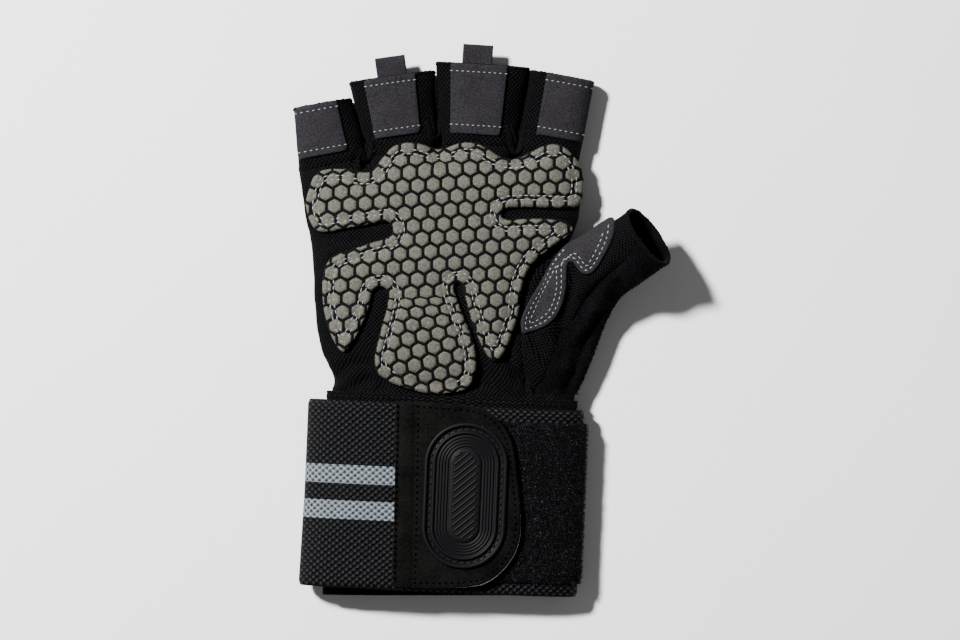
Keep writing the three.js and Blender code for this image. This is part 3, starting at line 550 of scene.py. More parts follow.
def finger_rings(finger, over=4.0):
    """Rings of a finger from inside the palm to a little beyond its mouth."""
    root, on, across, length, root_half, tip_half = finger_axes(finger)
    knots = [-FINGER_ROOT, 0, 0.35 * length, length]
    values = [(0.9 * root_half, 1.05), (root_half, 1.02),
              (root_half + 0.3 * (tip_half - root_half), 0.98), (tip_half, 1.0)]
    s = np.arange(-FINGER_ROOT, length + over, 1.0)
    half, high = between(knots, values, np.minimum(s, length)).T
    rings = []
    for i in range(len(s)):
        half_h = (high[i] * FINGER_H + SAG) / 2
        w, z = oval(64, half[i] - MELT_GAP * np.clip(s[i] / 6, 0, 1), half_h, FINGER_SQUARENESS)
        flat = root + s[i] * on + w[:, None] * across
        rings.append(np.column_stack([flat, np.maximum(half_h - SAG + z, 0)]))
    return rings

# %% Sections of the thumb
THUMB_KNOTS = np.array([(x * THUMB_REACH, y * THUMB_REACH, PALM_H / 2 + m * THUMB_LIFT, w * THUMB_W / 2,
                         h * THUMB_H / 2, s * w * THUMB_W / 2) for x, y, w, h, m, s in THUMB])
THUMB_RUN = np.r_[0, np.cumsum(np.linalg.norm(np.diff(THUMB_KNOTS[:, :3], axis=0), axis=1))]


def thumb_axes(run):
    """Centre, direction, side and up of the thumb, its half sizes and its seam."""
    last = THUMB_RUN[-1]
    on_line = np.clip(run, 0, last)
    rows = between(THUMB_RUN, THUMB_KNOTS, on_line)
    ahead = between(THUMB_RUN, THUMB_KNOTS, np.minimum(on_line + 1, last))[:, :3]
    behind = between(THUMB_RUN, THUMB_KNOTS, np.maximum(on_line - 1, 0))[:, :3]
    on = ahead - behind
    on /= np.linalg.norm(on, axis=1)[:, None]
    side = np.cross(on, [0, 0, 1.0])
    side /= np.linalg.norm(side, axis=1)[:, None]
    centre = rows[:, :3] + on * (run - on_line)[:, None]
    return centre, on, side, np.cross(side, on), rows[:, 3], rows[:, 4], rows[:, 5]


def thumb_rings(over=4.0):
    """Rings across the thumb's bent middle line."""
    run = np.arange(0, THUMB_RUN[-1] + over, 1.2)
    rings = []
    for centre, _, side, up, half_w, half_h, _ in zip(*thumb_axes(run)):
        w, z = oval(72, half_w, half_h, THUMB_SQUARENESS)
        ring = centre + w[:, None] * side + z[:, None] * up
        ring[:, 2] = np.maximum(ring[:, 2], 0)
        rings.append(ring)
    return rings

# %% [markdown]
# ## One skin
# A boolean union of tubes leaves sharp creases at every root, where the real cloth runs in a smooth web
# from finger to finger. A voxel remesh of 0.95 mm joins the tubes as if they were wax, and ten rounds
# of smoothing take away its steps.

# %% Melting the tubes into one form
def melted(name, parts, voxel, smoothing):
    """One closed skin round several closed bodies."""
    bm = bmesh.new()
    for piece in parts:
        bm.from_mesh(piece.data)
        bpy.data.objects.remove(piece)
    mesh = bpy.data.meshes.new(name)
    bm.to_mesh(mesh)
    bm.free()
    form = bpy.data.objects.new(name, mesh)
    bpy.context.scene.collection.objects.link(form)
    remesh = form.modifiers.new("melt", "REMESH")
    remesh.mode, remesh.voxel_size = "VOXEL", voxel * MM
    soft = form.modifiers.new("soft", "SMOOTH")
    soft.factor, soft.iterations = 0.5, smoothing
    return applied(form)


MELT_VOXEL, MELT_SMOOTHING = 0.95, 10
HAND = melted("hand_form", [tube("palm", palm_rings()), tube("thumb", thumb_rings())]
              + [tube(f[0], finger_rings(f)) for f in FINGERS], MELT_VOXEL, MELT_SMOOTHING)
print("hand form:", len(HAND.data.polygons), "faces")

# %% [markdown]
# ## Outlines of what is sewn on
# The pad, the patch and the finger bands hold the cloth flat, so their outlines come before the folds.
# Each was measured point by point on the photograph, as a pattern cutter would trace it, and a smooth
# line is drawn through the points.

# %% The grip pad and the patch, seen from above
PAD = curved(spot([
    (524, 235), (528, 220), (533, 215.5), (538, 214), (550, 214), (560, 216.5), (568, 216.5), (573, 212),
    (577, 206), (582, 199.5), (589, 196), (597, 195.5), (605, 197), (612, 199.8), (620, 199.3),
    (628, 196.5), (636, 195), (645, 197), (652, 201), (659, 205.5), (666, 207.3), (673, 206.5),
    (680, 202.5), (688, 198), (696, 196.3), (703, 198.5), (709, 204), (713.5, 212), (716, 222),
    (715.5, 232), (713, 239), (706, 242.5), (680, 242), (665, 242.5), (660, 245.5), (663, 249.5),
    (680, 248.5), (700, 249.5), (706, 252), (709.5, 257), (704, 263.5), (697, 268), (688, 274.5),
    (681, 281.5), (676, 291), (673.5, 302), (672, 315), (669, 325), (665.5, 335), (661, 344),
    (655.5, 349), (650, 345.5), (646, 339.5), (641, 328.5), (637.5, 318), (634, 306), (632, 297),
    (629, 294), (627, 297), (631, 309), (636, 322), (641, 335), (643, 350), (641, 361), (636, 368),
    (628, 370.5), (610, 372), (588, 366), (583, 364), (577, 360), (572, 355), (571, 345), (573.5, 333),
    (577, 320), (580, 308), (579.5, 299), (575, 297.5), (571, 300), (568, 312), (563, 324), (558, 334),
    (551, 342.5), (545, 338), (540, 328), (536, 312), (535, 298), (535.5, 288), (538, 280), (543, 275),
    (551, 271.5), (560, 268.5), (570, 265), (582, 261.5), (583.5, 256), (580, 252), (565, 254.5),
    (550, 257), (538, 259), (531, 257.5), (526.5, 251), (524, 243),
]), 1.2, True)

PATCH = curved(spot([
    (737, 249), (737.5, 258), (735.5, 266), (731, 275), (727, 282), (723, 286.5), (719, 288), (715, 286.5),
    (712, 283), (709.3, 279.5), (707, 279.5), (705.3, 283), (705, 295), (704, 302), (702, 309), (698, 317),
    (692, 323), (685, 326.5), (678, 328.5), (674, 329), (673, 320), (676, 312), (680, 304), (685, 296),
    (690, 287), (694, 280), (700, 272), (706, 266.8), (718, 260.5), (730, 252),
]), 1.0, True)

# %% The finger bands, seen from above
BAND_REACH = 0.93


def band_outline(finger, step=1.2):
    """Four sides of a band; a band that goes round the finger ends where it is out of sight."""
    band, left, right = finger[7:10]
    root, on, across, length, root_half, tip_half = finger_axes(finger)
    foot = length - band * FINGER_L
    right = min(right, BAND_REACH)

    def corner(s, share):
        return root + s * on + share * (root_half + s / length * (tip_half - root_half)) * across
    ends = [corner(foot, left), corner(foot, right), corner(length + 0.3, right), corner(length + 0.3, left)]
    return resampled(np.array(ends) + SHIFT[:2], step, True)


def sewn_down(points):
    """1 on free cloth, 0 under what is sewn on."""
    free = np.ones(len(points))
    for outline in (PAD, PATCH, *[band_outline(f) for f in FINGERS]):
        away = np.clip(far_from(points, resampled(outline, 2.5, True)) / 2.0, 0, 1)
        free = np.minimum(free, np.where(inside(points, outline), 0, away))
    return free


print("pad and patch, points of outline:", len(PAD), len(PATCH))

# %% [markdown]
# ## Folds
# The cloth is loose where nothing pads it: beside the pad above the wrist, at the thumb's crotch and
# between the fingers. A cloth simulation would make folds too, but other ones than those of this glove,
# so each is given here as a line along which the skin sinks or swells, with a width and a depth judged
# from the shades in the photograph. Finer creases come from two long waves.

# %% The folds as lines
# Places in pixels, then width and depth in mm, below zero where the cloth sinks
FOLDS = [
    ([(716, 262), (708, 290), (700, 330)], 3.0, -2.0), ([(742, 296), (722, 312), (706, 345)], 3.2, -2.6),
    ([(732, 300), (712, 330), (704, 352)], 2.4, 2.0), ([(728, 318), (716, 345), (708, 366)], 2.0, -1.8),
    ([(690, 372), (668, 352), (662, 338)], 2.2, -1.6), ([(700, 366), (678, 340), (676, 318)], 2.2, 1.5),
    ([(540, 366), (552, 352), (566, 350)], 2.4, -1.0), ([(545, 372), (566, 362), (580, 366)], 2.0, -0.9),
    ([(532, 342), (545, 350), (556, 362)], 2.2, 0.7), ([(527, 262), (560, 266)], 2.5, -0.6),
    ([(566, 196), (563, 214)], 1.7, -1.6), ([(614, 184), (616, 198)], 1.7, -1.6),
    ([(671, 190), (669, 205)], 1.7, -1.6), ([(558, 203), (556, 214)], 1.2, -0.7),
    ([(570, 200), (569, 213)], 1.2, 0.8), ([(560, 204), (561, 213)], 1.2, 0.7),
    ([(754, 288), (730, 306), (712, 332)], 2.6, 1.2), ([(746, 270), (735, 288), (716, 306)], 2.0, -0.7),
    ([(625, 372), (640, 366), (655, 368), (672, 374)], 1.8, -0.8), ([(596, 371), (618, 375)], 1.4, -0.6),
]

# Gathers above the wrap: place across, slant, depth, width, reach, all in mm
GATHERS = np.column_stack([RNG.uniform(lo, hi, 40) for lo, hi in
                           ((-46, 46), (-0.4, 0.4), (-0.75, 0.5), (0.9, 2.4), (8, 24))])

# %% Folding the skin
def folded(form):
    """Moves the form's skin along its normals, by its folds."""
    points, normals = points_of(form), normals_of(form)
    amount = np.zeros(len(points))
    for line, width, depth in FOLDS:
        away = far_from(points, curved(spot(line), 1.0), False)
        amount += depth * np.exp(-((away / width) ** 2))
    row = points[:, :2] - SHIFT[:2]
    for x, slant, depth, width, reach in GATHERS:
        run = row[:, 1] - TAPE_TOP
        fade = np.clip(run / 2, 0, 1) * np.clip(1 - run / reach, 0, 1)
        amount += depth * np.exp(-(((row[:, 0] - x - slant * run) / width) ** 2)) * fade
    slow = np.sin(points[:, 0] * 0.19 + 2) * np.sin(points[:, 1] * 0.16 + 1)
    fine = np.sin(points[:, 0] * 0.55 + 2.1 * np.sin(points[:, 1] * 0.13)) * np.sin(points[:, 1] * 0.41 + 0.7)
    amount = (amount + 0.45 * slow + 0.16 * fine) * np.clip(normals[:, 2] + 0.35, 0, 1)
    upper = normals[:, 2] > -0.3
    amount[upper] *= sewn_down(points[upper])
    moved = points + normals * amount[:, None]
    moved[:, 2] = np.maximum(moved[:, 2], 0.0)
    form.data.vertices.foreach_set("co", (moved * MM).ravel())
    form.data.update()
    return form


# The unfolded skin is kept as a search tree: it is what the sewn-on pieces hold flat
TREE = BVHTree.FromPolygons([v.co for v in HAND.data.vertices], [p.vertices[:] for p in HAND.data.polygons])
folded(HAND)
print("folds:", len(FOLDS), "gathers:", len(GATHERS))

# %% [markdown]
# ## The ground for what is sewn on
# A shrinkwrap modifier could press each sheet on the skin, but it also copies every small dent. A grid of
# heights, read from above and softened, is the calm surface that suede or foam takes up. Foam is thick
# and bridges the valleys between the fingers' roots, so the pad gets a softer copy that stays above it.

# %% The ground that the sewn-on pieces lie on
class Ground:
    """Heights of a form's upper side on a grid, softened, with a way to lift points off it."""

    def __init__(self, height, low, high, step=0.7, soft=2):
        self.low, self.step = np.array(low, float), step
        count = np.ceil((np.array(high) - low) / step).astype(int) + 1
        x = low[0] + step * np.arange(count[0])
        y = low[1] + step * np.arange(count[1])
        z = np.array([[height(a, b) for b in y] for a in x])
        for _ in range(16):
            near = np.stack([np.roll(z, 1, 0), np.roll(z, -1, 0), np.roll(z, 1, 1), np.roll(z, -1, 1)])
            known = np.isfinite(near)
            beside = np.where(known, near, 0).sum(0) / np.maximum(known.sum(0), 1) - 0.9 * step
            z = np.where(np.isnan(z) & known.any(0), beside, z)
        self.settle(np.where(np.isnan(z), 3.0, z), soft)

    def settle(self, z, soft):
        """Takes heights, softened so many times."""
        for _ in range(soft):
            p = np.pad(z, 1, mode="edge")
            z = (p[:-2, 1:-1] + p[2:, 1:-1] + p[1:-1, :-2] + p[1:-1, 2:] + 4 * z) / 8
        self.z = z
        self.slope = np.stack(np.gradient(z, self.step), axis=2)

    def bridged(self, soft):
        """The same ground as thick foam sees it, with its narrow valleys bridged."""
        other = copy.copy(self)
        other.settle(self.z, soft)
        other.settle(np.maximum(other.z, self.z), 4)
        return other

    def read(self, field, at):
        """The field's value at any place, between the points of the grid."""
        g = (np.asarray(at)[:, :2] - self.low) / self.step
        i = np.clip(g.astype(int), 0, np.array(self.z.shape) - 2)
        f = np.clip(g - i, 0, 1)
        a, b = field[i[:, 0], i[:, 1]], field[i[:, 0] + 1, i[:, 1]]
        c, d = field[i[:, 0], i[:, 1] + 1], field[i[:, 0] + 1, i[:, 1] + 1]
        u, v = (f[:, :1], f[:, 1:]) if field.ndim == 3 else (f[:, 0], f[:, 1])
        return a * (1 - u) * (1 - v) + b * u * (1 - v) + c * (1 - u) * v + d * u * v

    def lifted(self, at, lift):
        """Points at a distance off the form, along its normals."""
        at = np.asarray(at)[:, :2]
        slope = np.clip(self.read(self.slope, at), -1.2, 1.2)
        normal = np.column_stack([-slope, np.ones(len(at))])
        normal /= np.linalg.norm(normal, axis=1)[:, None]
        return np.column_stack([at, self.read(self.z, at)]) + normal * np.asarray(lift).reshape(-1, 1)


def hand_height(x, y):
    """How high the skin is at a place, or no number beside it."""
    hit = TREE.ray_cast(Vector((x * MM, y * MM, 0.1)), Vector((0, 0, -1)))[0]
    return hit.z / MM if hit else math.nan


PALM_GROUND = Ground(hand_height, (-74, -45), (62, 104))
PAD_GROUND = PALM_GROUND.bridged(60)
print("ground:", PALM_GROUND.z.shape, "highest", round(float(PALM_GROUND.z.max()), 1))

# %% [markdown]
# ## Cutting the form into its cloths
# Every seam is the zero line of a field over the skin. The skin is cut exactly there, each side becomes
# its own piece, and a shallow valley along the line is what a sewn seam does to knit cloth. Then each
# piece gets the cloth's thickness, inwards.

# %% Places measured along the fingers
def finger_fields(points):
    """For each finger: the run along it, and the distance from its axis as a share of its width."""
    flat = points[:, :2] - SHIFT[:2]
    out = []
    for finger in FINGERS:
        root, on, across, length, root_half, tip_half = finger_axes(finger)
        s, w = (flat - root) @ on, (flat - root) @ across
        half = root_half + np.clip(s / length, 0, 1) * (tip_half - root_half)
        out.append((s, w, length, np.abs(w) / half))
    return out


def knuckle_line():
    """The line across the hand where the finger cloths begin."""
    marks = [finger_axes(f)[0] + 1.5 * finger_axes(f)[1] for f in FINGERS]
    ends = marks[0] + [-PALM_W / 3, -7], marks[-1] + [PALM_W / 3, -7]
    return curved([ends[0], *marks, ends[1]], 2.0)


KNUCKLES = knuckle_line() + SHIFT[:2]

# %% Places measured along the thumb
THUMB_LINE = curved(np.array(THUMB_SEAM) * THUMB_REACH, 2.0) + SHIFT[:2]
THUMB_RUNS = np.arange(0, THUMB_RUN[-1] + 4, 1.0)
THUMB_AXES = thumb_axes(THUMB_RUNS)


def in_thumb(points):
    """Run along the thumb, across and up, from the nearest of its sections."""
    p = points - SHIFT
    nearest = np.argmin(((p[:, None, :] - THUMB_AXES[0][None]) ** 2).sum(2), axis=1)
    off = p - THUMB_AXES[0][nearest]
    run = THUMB_RUNS[nearest] + (off * THUMB_AXES[1][nearest]).sum(1)
    return (run, (off * THUMB_AXES[2][nearest]).sum(1), (off * THUMB_AXES[3][nearest]).sum(1),
            *[THUMB_AXES[k][nearest] for k in (4, 5, 6)])

# %% The fields: each seam is where one of these is zero
def knuckle_field(points):
    """Above zero on the fingers' side of the knuckles."""
    return points[:, 1] - np.interp(points[:, 0], KNUCKLES[:, 0], KNUCKLES[:, 1])


def side_field(points):
    """Above zero on the palm's side of the seam between palm and back."""
    y = points[:, 1] - SHIFT[1]
    return points[:, 2] - np.interp(y, ROWS[:, 0], (ROWS[:, 3] + ROWS[:, 4]) / 2)


def thumb_field(points):
    """Above zero on the thumb's side of its seam."""
    foot = THUMB_LINE[-1]
    x = np.interp(-points[:, 1], -THUMB_LINE[:, 1], THUMB_LINE[:, 0])
    return np.minimum(points[:, 0] - x, (points[:, 1] - foot[1]))


def terry_field(points):
    """Above zero on the terry's side of the seam along the thumb."""
    _, across, up, half_w, half_h, seam = in_thumb(points)
    share = np.clip((up / half_h + 1) / 2, 0, 1)
    return across - (-0.7 * half_w + share * (seam + 0.7 * half_w))


def gap_field(i):
    """Below zero on finger i's side of the valley between it and the next."""
    def field(points):
        fields = finger_fields(points)
        return fields[i][3] - fields[i + 1][3]
    return field


def end_field(name):
    """Above zero beyond a cloth's open end."""
    def field(points):
        if name.startswith("thumb"):
            return in_thumb(points)[0] - THUMB_RUN[-1]
        if name.endswith("stall"):
            s, _, length, _ = finger_fields(points)[CLOTHS.index(name)]
            return s - length
        return ROWS[0, 0] + SHIFT[1] + 1.2 - points[:, 1]
    return field

# %% Cutting along a field
def cut_along(bm, field, only=None):
    """Splits the faces where the field crosses zero, or only those of them where a test holds."""
    points = np.array([v.co[:] for v in bm.verts]) / MM
    value = field(points)
    if only:
        value = np.where(only(points), value, np.nan)
    value = np.where(np.abs(value) < 0.12, 0.0, value)
    amount = {v: value[i] for i, v in enumerate(bm.verts)}
    on_line = [v for v in bm.verts if amount[v] == 0]
    for edge in list(bm.edges):
        a, b = edge.verts
        if amount[a] * amount[b] < 0:
            _, middle = bmesh.utils.edge_split(edge, a, amount[a] / (amount[a] - amount[b]))
            amount[middle] = 0.0
            on_line.append(middle)
    keep = set(on_line)
    for face in {f for v in on_line for f in v.link_faces}:
        marks = [v for v in face.verts if v in keep]
        if len(marks) == 2 and not any(e.other_vert(marks[0]) == marks[1] for e in marks[0].link_edges):
            bmesh.utils.face_split(face, marks[0], marks[1])


def face_middles(bm):
    return np.array([f.calc_center_median()[:] for f in bm.faces]) / MM


SKIN = bmesh.new()
SKIN.from_mesh(HAND.data)
for seam in (knuckle_field, thumb_field, side_field, terry_field):
    cut_along(SKIN, seam)
for i in range(3):
    cut_along(SKIN, gap_field(i), lambda p: knuckle_field(p) > -0.3)
print("skin after cutting:", len(SKIN.faces), "faces")

# %% Naming each face's cloth
middles = face_middles(SKIN)
fingers = np.array([f[3] for f in finger_fields(middles)])
owner = np.argmin(fingers, axis=0)
beyond, side, thumb = (f(middles) > 0 for f in (knuckle_field, side_field, thumb_field))
terry = terry_field(middles) > 0
CLOTHS = ["little_stall", "ring_stall", "middle_stall", "index_stall", "palm_panel", "back_panel",
          "thumb_knit_half", "thumb_terry_half"]
kind = np.where(thumb & ~(beyond & (fingers.min(0) < 1.2)), np.where(terry, 7, 6),
                np.where(beyond, owner, np.where(side, 4, 5)))
print({name: int((kind == i).sum()) for i, name in enumerate(CLOTHS)})

# %% Valleys along the seams
def seam_depth(points, normals):
    flat = points[:, :2]
    up = np.clip(normals[:, 2] + 0.6, 0, 1)
    lines = [(KNUCKLES, 0.5, 1.3), (THUMB_LINE, 0.6, 1.3)]
    depth = np.zeros(len(points))
    for line, deep, wide in lines:
        depth += deep * np.exp(-((far_from(flat, line, False) / wide) ** 2)) * up
    on_thumb = thumb_field(points) > 0
    depth += np.where(on_thumb, 0.6 * np.exp(-((terry_field(points) / 1.2) ** 2)), 0)
    depth += np.where(on_thumb, 0, 0.4 * np.exp(-((side_field(points) / 1.0) ** 2)))
    return depth


SKIN.normal_update()
points = np.array([v.co[:] for v in SKIN.verts]) / MM
normals = np.array([v.normal[:] for v in SKIN.verts])
points -= normals * seam_depth(points, normals)[:, None]
points[:, 2] = np.maximum(points[:, 2], 0)
for vert, co in zip(SKIN.verts, points * MM):
    vert.co = co

# %% [markdown]
# ## The eight cloths
# A tailor cuts each cloth flat, so its knit runs straight along it and round it. The UV map does the
# same: one direction is the length along the finger, thumb or palm, the other the length round it, both
# in real size. Then each cloth is taken out of the skin, trimmed at its open end, its finger sides are
# brought out to touch the next finger, and a solidify modifier gives it 1.2 mm of thickness.

# %% Flat patterns, so that the knit follows each cloth
def cloth_uv(points, name):
    """Places on the flat cloth, in mm: round the section, and along it."""
    if name.startswith("thumb"):
        along, across, up, _, half_h, _ = in_thumb(points)
    elif name.endswith("stall"):
        along, across, _, _ = finger_fields(points)[CLOTHS.index(name)]
        half_h = (FINGER_H + SAG) / 2
        up = points[:, 2] - half_h
    else:
        along = points[:, 1] - SHIFT[1]
        left, right, low, high = between(ROWS[:, 0], ROWS[:, 1:], along).T
        across, half_h = points[:, 0] - SHIFT[0] - (left + right) / 2, (high - low) / 2
        up = points[:, 2] - (low + high) / 2
    return np.column_stack([across + np.sign(across) * (half_h - np.abs(up)), along])

# %% Taking a cloth out of the skin
# How much further each finger's two sides go, in mm
SIDES = [(0, 1.7), (1.2, 0.8), (0.6, 1.0), (0.8, 0)]
MOUTHS = {}


def widened(points, index):
    """A finger's sides brought out until they touch their neighbours."""
    root, on, across, _, half, _ = finger_axes(FINGERS[index])
    flat = points[:, :2] - SHIFT[:2] - root
    s, w = flat @ on, flat @ across
    left, right = SIDES[index]
    grow = (MELT_GAP + np.where(w < 0, left, right)) * np.clip(s / 10, 0, 1) * w / half
    out = points.copy()
    out[:, :2] += grow[:, None] * across
    return out


def cloth_piece(index, name, material, thickness=1.2):
    """One cloth cut out of the skin, trimmed at its open end and given its thickness."""
    keep = {f for f, k in zip(SKIN.faces, kind) if k == index}
    used = sorted({v.index for f in keep for v in f.verts})
    place_of = {v: i for i, v in enumerate(used)}
    bm = bmesh.new()
    verts = [bm.verts.new(points[v] * MM) for v in used]
    for f in keep:
        bm.faces.new([verts[place_of[v.index]] for v in f.verts])
    ended = end_field(name)
    cut_along(bm, ended)
    middles = face_middles(bm)
    bmesh.ops.delete(bm, geom=[f for f, v in zip(list(bm.faces), ended(middles)) if v > 0], context="FACES")
    bm.verts.index_update()
    p = np.array([v.co[:] for v in bm.verts]) / MM
    if index < 4:
        p = widened(p, index)
    rim = [v.index for v in bm.verts if v.is_boundary and abs(ended(np.array([v.co[:]]) / MM)[0]) < 0.15]
    MOUTHS[name] = p[rim]
    piece = place(name + "_cloth", p, [[v.index for v in f.verts] for f in bm.faces], [material],
                  uvs=cloth_uv(p, name))
    bm.free()
    thick = piece.modifiers.new("cloth", "SOLIDIFY")
    thick.thickness, thick.offset, thick.use_even_offset = thickness * MM, -1, False
    return stands_for(applied(piece), "terry" if "terry" in name else "knit", name)

# %% All eight cloths
SKIN.verts.index_update()
for i, name in enumerate(CLOTHS):
    made = cloth_piece(i, name, TERRY if "terry" in name else GORE if "stall" in name else KNIT)
    print(made.name, len(made.data.polygons), "faces")
SKIN.free()
bpy.data.objects.remove(HAND)

# %% [markdown]
# ## Edges of the open ends
# An open end of knit would run, so it is overlocked: thread wrapped round the edge in close turns, which
# makes a rough, slightly swollen rim. Thousands of turns of thread could be modelled, but they are finer
# than a pixel, so the rim is a cord whose thickness changes from point to point by seeded chance.

# %% Overlocked rims
def overlocked(name, groups, radius=0.85):
    """A cord of uneven thickness round each open end."""
    every, faces, count = [], [], 0
    for middle, across, up, rim in groups:
        off = rim - middle
        order = np.argsort(np.arctan2(off @ up, off @ across))
        path = resampled(rim[order], 0.55, True)
        path = (np.roll(path, 1, axis=0) + path + np.roll(path, -1, axis=0)) / 3
        on = np.roll(path, -1, axis=0) - np.roll(path, 1, axis=0)
        on /= np.linalg.norm(on, axis=1)[:, None]
        out = path - path.mean(0)
        out -= on * (out * on).sum(1)[:, None]
        out /= np.linalg.norm(out, axis=1)[:, None]
        lean = np.cross(on, out)
        turns = np.linspace(0, 2 * np.pi, 9)[:-1]
        bumps = radius * (0.85 + 0.22 * np.abs(RNG.normal(0, 1, (len(path), 8))))[..., None]
        ring = (path - 0.5 * out)[:, None] + bumps * (
            np.cos(turns)[:, None] * out[:, None] + 0.8 * np.sin(turns)[:, None] * lean[:, None])
        ring = ring.reshape(-1, 3)
        ring[:, 2] = np.maximum(ring[:, 2], 0)
        n = len(path)
        faces += [(count + r * 8 + c, count + r * 8 + (c + 1) % 8, count + (r + 1) % n * 8 + (c + 1) % 8,
                   count + (r + 1) % n * 8 + c) for r in range(n) for c in range(8)]
        every.append(ring)
        count += len(ring)
    return stands_for(place(name, np.vstack(every), faces, [OVERLOCK]), "knit")

# %% The rims of four fingers and the thumb
rims = []
for i, finger in enumerate(FINGERS):
    rim = MOUTHS[CLOTHS[i]]
    rims.append((rim.mean(0), np.append(finger_axes(finger)[2], 0), np.array([0, 0, 1.0]), rim))
rim = np.vstack([MOUTHS["thumb_knit_half"], MOUTHS["thumb_terry_half"]])
rims.append((rim.mean(0), THUMB_AXES[2][-1], THUMB_AXES[3][-1], rim))
print("rims:", len(overlocked("overlocked_rims", rims).data.polygons), "faces")

# %% [markdown]
# ## Stitches
# One stitch is a small bead of thread that dips into the cloth at both ends. Curve objects with a bevel
# could draw them, but one mesh for a whole row is lighter, and every bead can lean a little of its own.

# %% A row of stitches on a ground
def stitch_row(line, ground, lift, pitch, length, width, closed=False):
    """Points and faces of the stitches along a line, in mm."""
    path = resampled(line, pitch, closed)
    ahead = np.roll(path, -1, axis=0) if closed else np.vstack([path[1:], path[-1:]])
    behind = np.roll(path, 1, axis=0) if closed else np.vstack([path[:1], path[:-1]])
    on = ahead - behind
    on /= np.maximum(np.linalg.norm(on, axis=1), 1e-9)[:, None]
    side = np.column_stack([-on[:, 1], on[:, 0]])
    stations = np.linspace(-0.5, 0.5, 6)
    turns = np.linspace(0, 2 * np.pi, 7, endpoint=False)
    points, faces = [], []
    for i in range(len(path)):
        lean = RNG.normal(0, 0.05)
        direction = on[i] + lean * side[i]
        sections = path[i] + np.outer(stations * length, direction)
        body = np.sqrt(np.maximum(0.03, 1 - (2 * stations) ** 2))
        flat = (sections[:, None, :] + (body[:, None] * width / 2 * np.cos(turns))[..., None] * side[i])
        high = lift - 0.25 * (2 * np.abs(stations[:, None])) ** 3 + body[:, None] * width / 2 * np.sin(turns)
        base = len(points) * 42
        points.append(ground.lifted(flat.reshape(-1, 2), high.ravel()))
        faces += [tuple(base + k for k in f) for f in grid_faces(6, 7, True)]
    return np.vstack(points), faces


def stitched(name, rows, material, slot):
    """Several rows as one piece."""
    points, faces, count = [], [], 0
    for p, f in rows:
        points.append(p)
        faces += [tuple(k + count for k in face) for face in f]
        count += len(p)
    piece = place(name, np.vstack(points), faces, [material])
    return stands_for(piece, slot)

# %% [markdown]
# ## Ribs and loose fibres
# Two more shapes come back on several pieces: a rounded rib that follows a line, for gathered cloth and
# for moulded ribs, and a short curled strand, for terry and for the loop pile. Blender's hair could grow
# the strands, but strands of two small faces each stay a plain mesh that every program can read.

# %% Beads and loose fibres
def bead(path, width, height, ground, lift, ends=0.5):
    """A rounded rib along a path on a ground, tapered at both ends."""
    path = np.asarray(path, float)
    n = len(path)
    on = np.gradient(path, axis=0)
    on /= np.linalg.norm(on, axis=1)[:, None]
    side = np.column_stack([-on[:, 1], on[:, 0]])
    run = np.r_[0, np.cumsum(np.linalg.norm(np.diff(path, axis=0), axis=1))]
    body = np.sqrt(np.clip(np.minimum(run, run[-1] - run) / ends, 0.03, 1))
    turns = np.linspace(0, 2 * np.pi, 9)[:-1]
    flat = path[:, None] + (body[:, None] * width / 2 * np.cos(turns))[..., None] * side[:, None]
    high = lift + body[:, None] * height * np.sin(turns)
    faces = grid_faces(n, 8, True) + [tuple(range(8))[::-1], tuple(range(8 * n - 8, 8 * n))]
    return ground.lifted(flat.reshape(-1, 2), high.ravel()), faces


def fibres(name, roots, normals, length, width, material, slot):
    """Fine curled strands that stand out of a pile."""
    n = len(roots)
    side = RNG.normal(0, 1, (n, 3))
    side -= normals * (side * normals).sum(1)[:, None]
    side /= np.linalg.norm(side, axis=1)[:, None]
    long = (length * RNG.uniform(0.5, 1.3, n))[:, None]
    flat = np.cross(normals, side) * width / 2
    stem = roots - 0.15 * normals
    bend = stem + long * (0.45 * normals + 0.3 * side)
    tip = stem + long * (0.5 * normals + 0.9 * side)
    points = np.stack([stem - flat, stem + flat, bend - flat, bend + flat,
                       tip - 0.4 * flat, tip + 0.4 * flat], 1)
    points[..., 2] = np.maximum(points[..., 2], 0)
    faces = [(6 * i + a, 6 * i + b, 6 * i + c, 6 * i + d) for i in range(n) for a, b, c, d in
             ((0, 1, 3, 2), (2, 3, 5, 4))]
    return stands_for(place(name, points.reshape(-1, 3), faces, [material]), slot)

# %% [markdown]
# ## Pieces that lie on the glove
# Each is an outline filled with small triangles, laid on the ground at a height that depends on how far
# a point is from the edge: a folded or cut edge is round, and a row of stitches pulls the sheet down.

# %% Filling an outline
def edge_round(away, thickness, radius, foot=0.0):
    """Height of a sheet with a rounded edge."""
    t = np.clip(away / radius, 0, 1)
    return foot + (thickness - foot) * np.sqrt(1 - (1 - t) ** 2)


def filled(outline, step, extra=()):
    """Triangles inside an outline, with points at even steps. Returns points and faces."""
    low, high = outline.min(0), outline.max(0)
    x, y = np.meshgrid(np.arange(low[0], high[0], step), np.arange(low[1], high[1], step * 0.87))
    x[1::2] += step / 2
    inner = np.column_stack([x.ravel(), y.ravel()])
    inner = inner[inside(inner, outline)]
    inner = inner[far_from(inner, outline) > 0.6 * step]
    rings = [turned_in(outline, t) for t in extra]
    inner = inner[np.all([far_from(inner, r) > 0.35 * step for r in rings], axis=0)] if rings else inner
    every = np.vstack([outline, *rings, inner])
    edges = [(i, (i + 1) % len(outline)) for i in range(len(outline))]
    verts, _, faces, *_ = delaunay_2d_cdt([Vector(p) for p in every], edges, [], 0, 1e-5)
    verts = np.array([v[:] for v in verts])
    faces = np.array([f[:3] for f in faces])
    keep = inside(verts[faces].mean(1), outline)
    return verts, faces[keep]


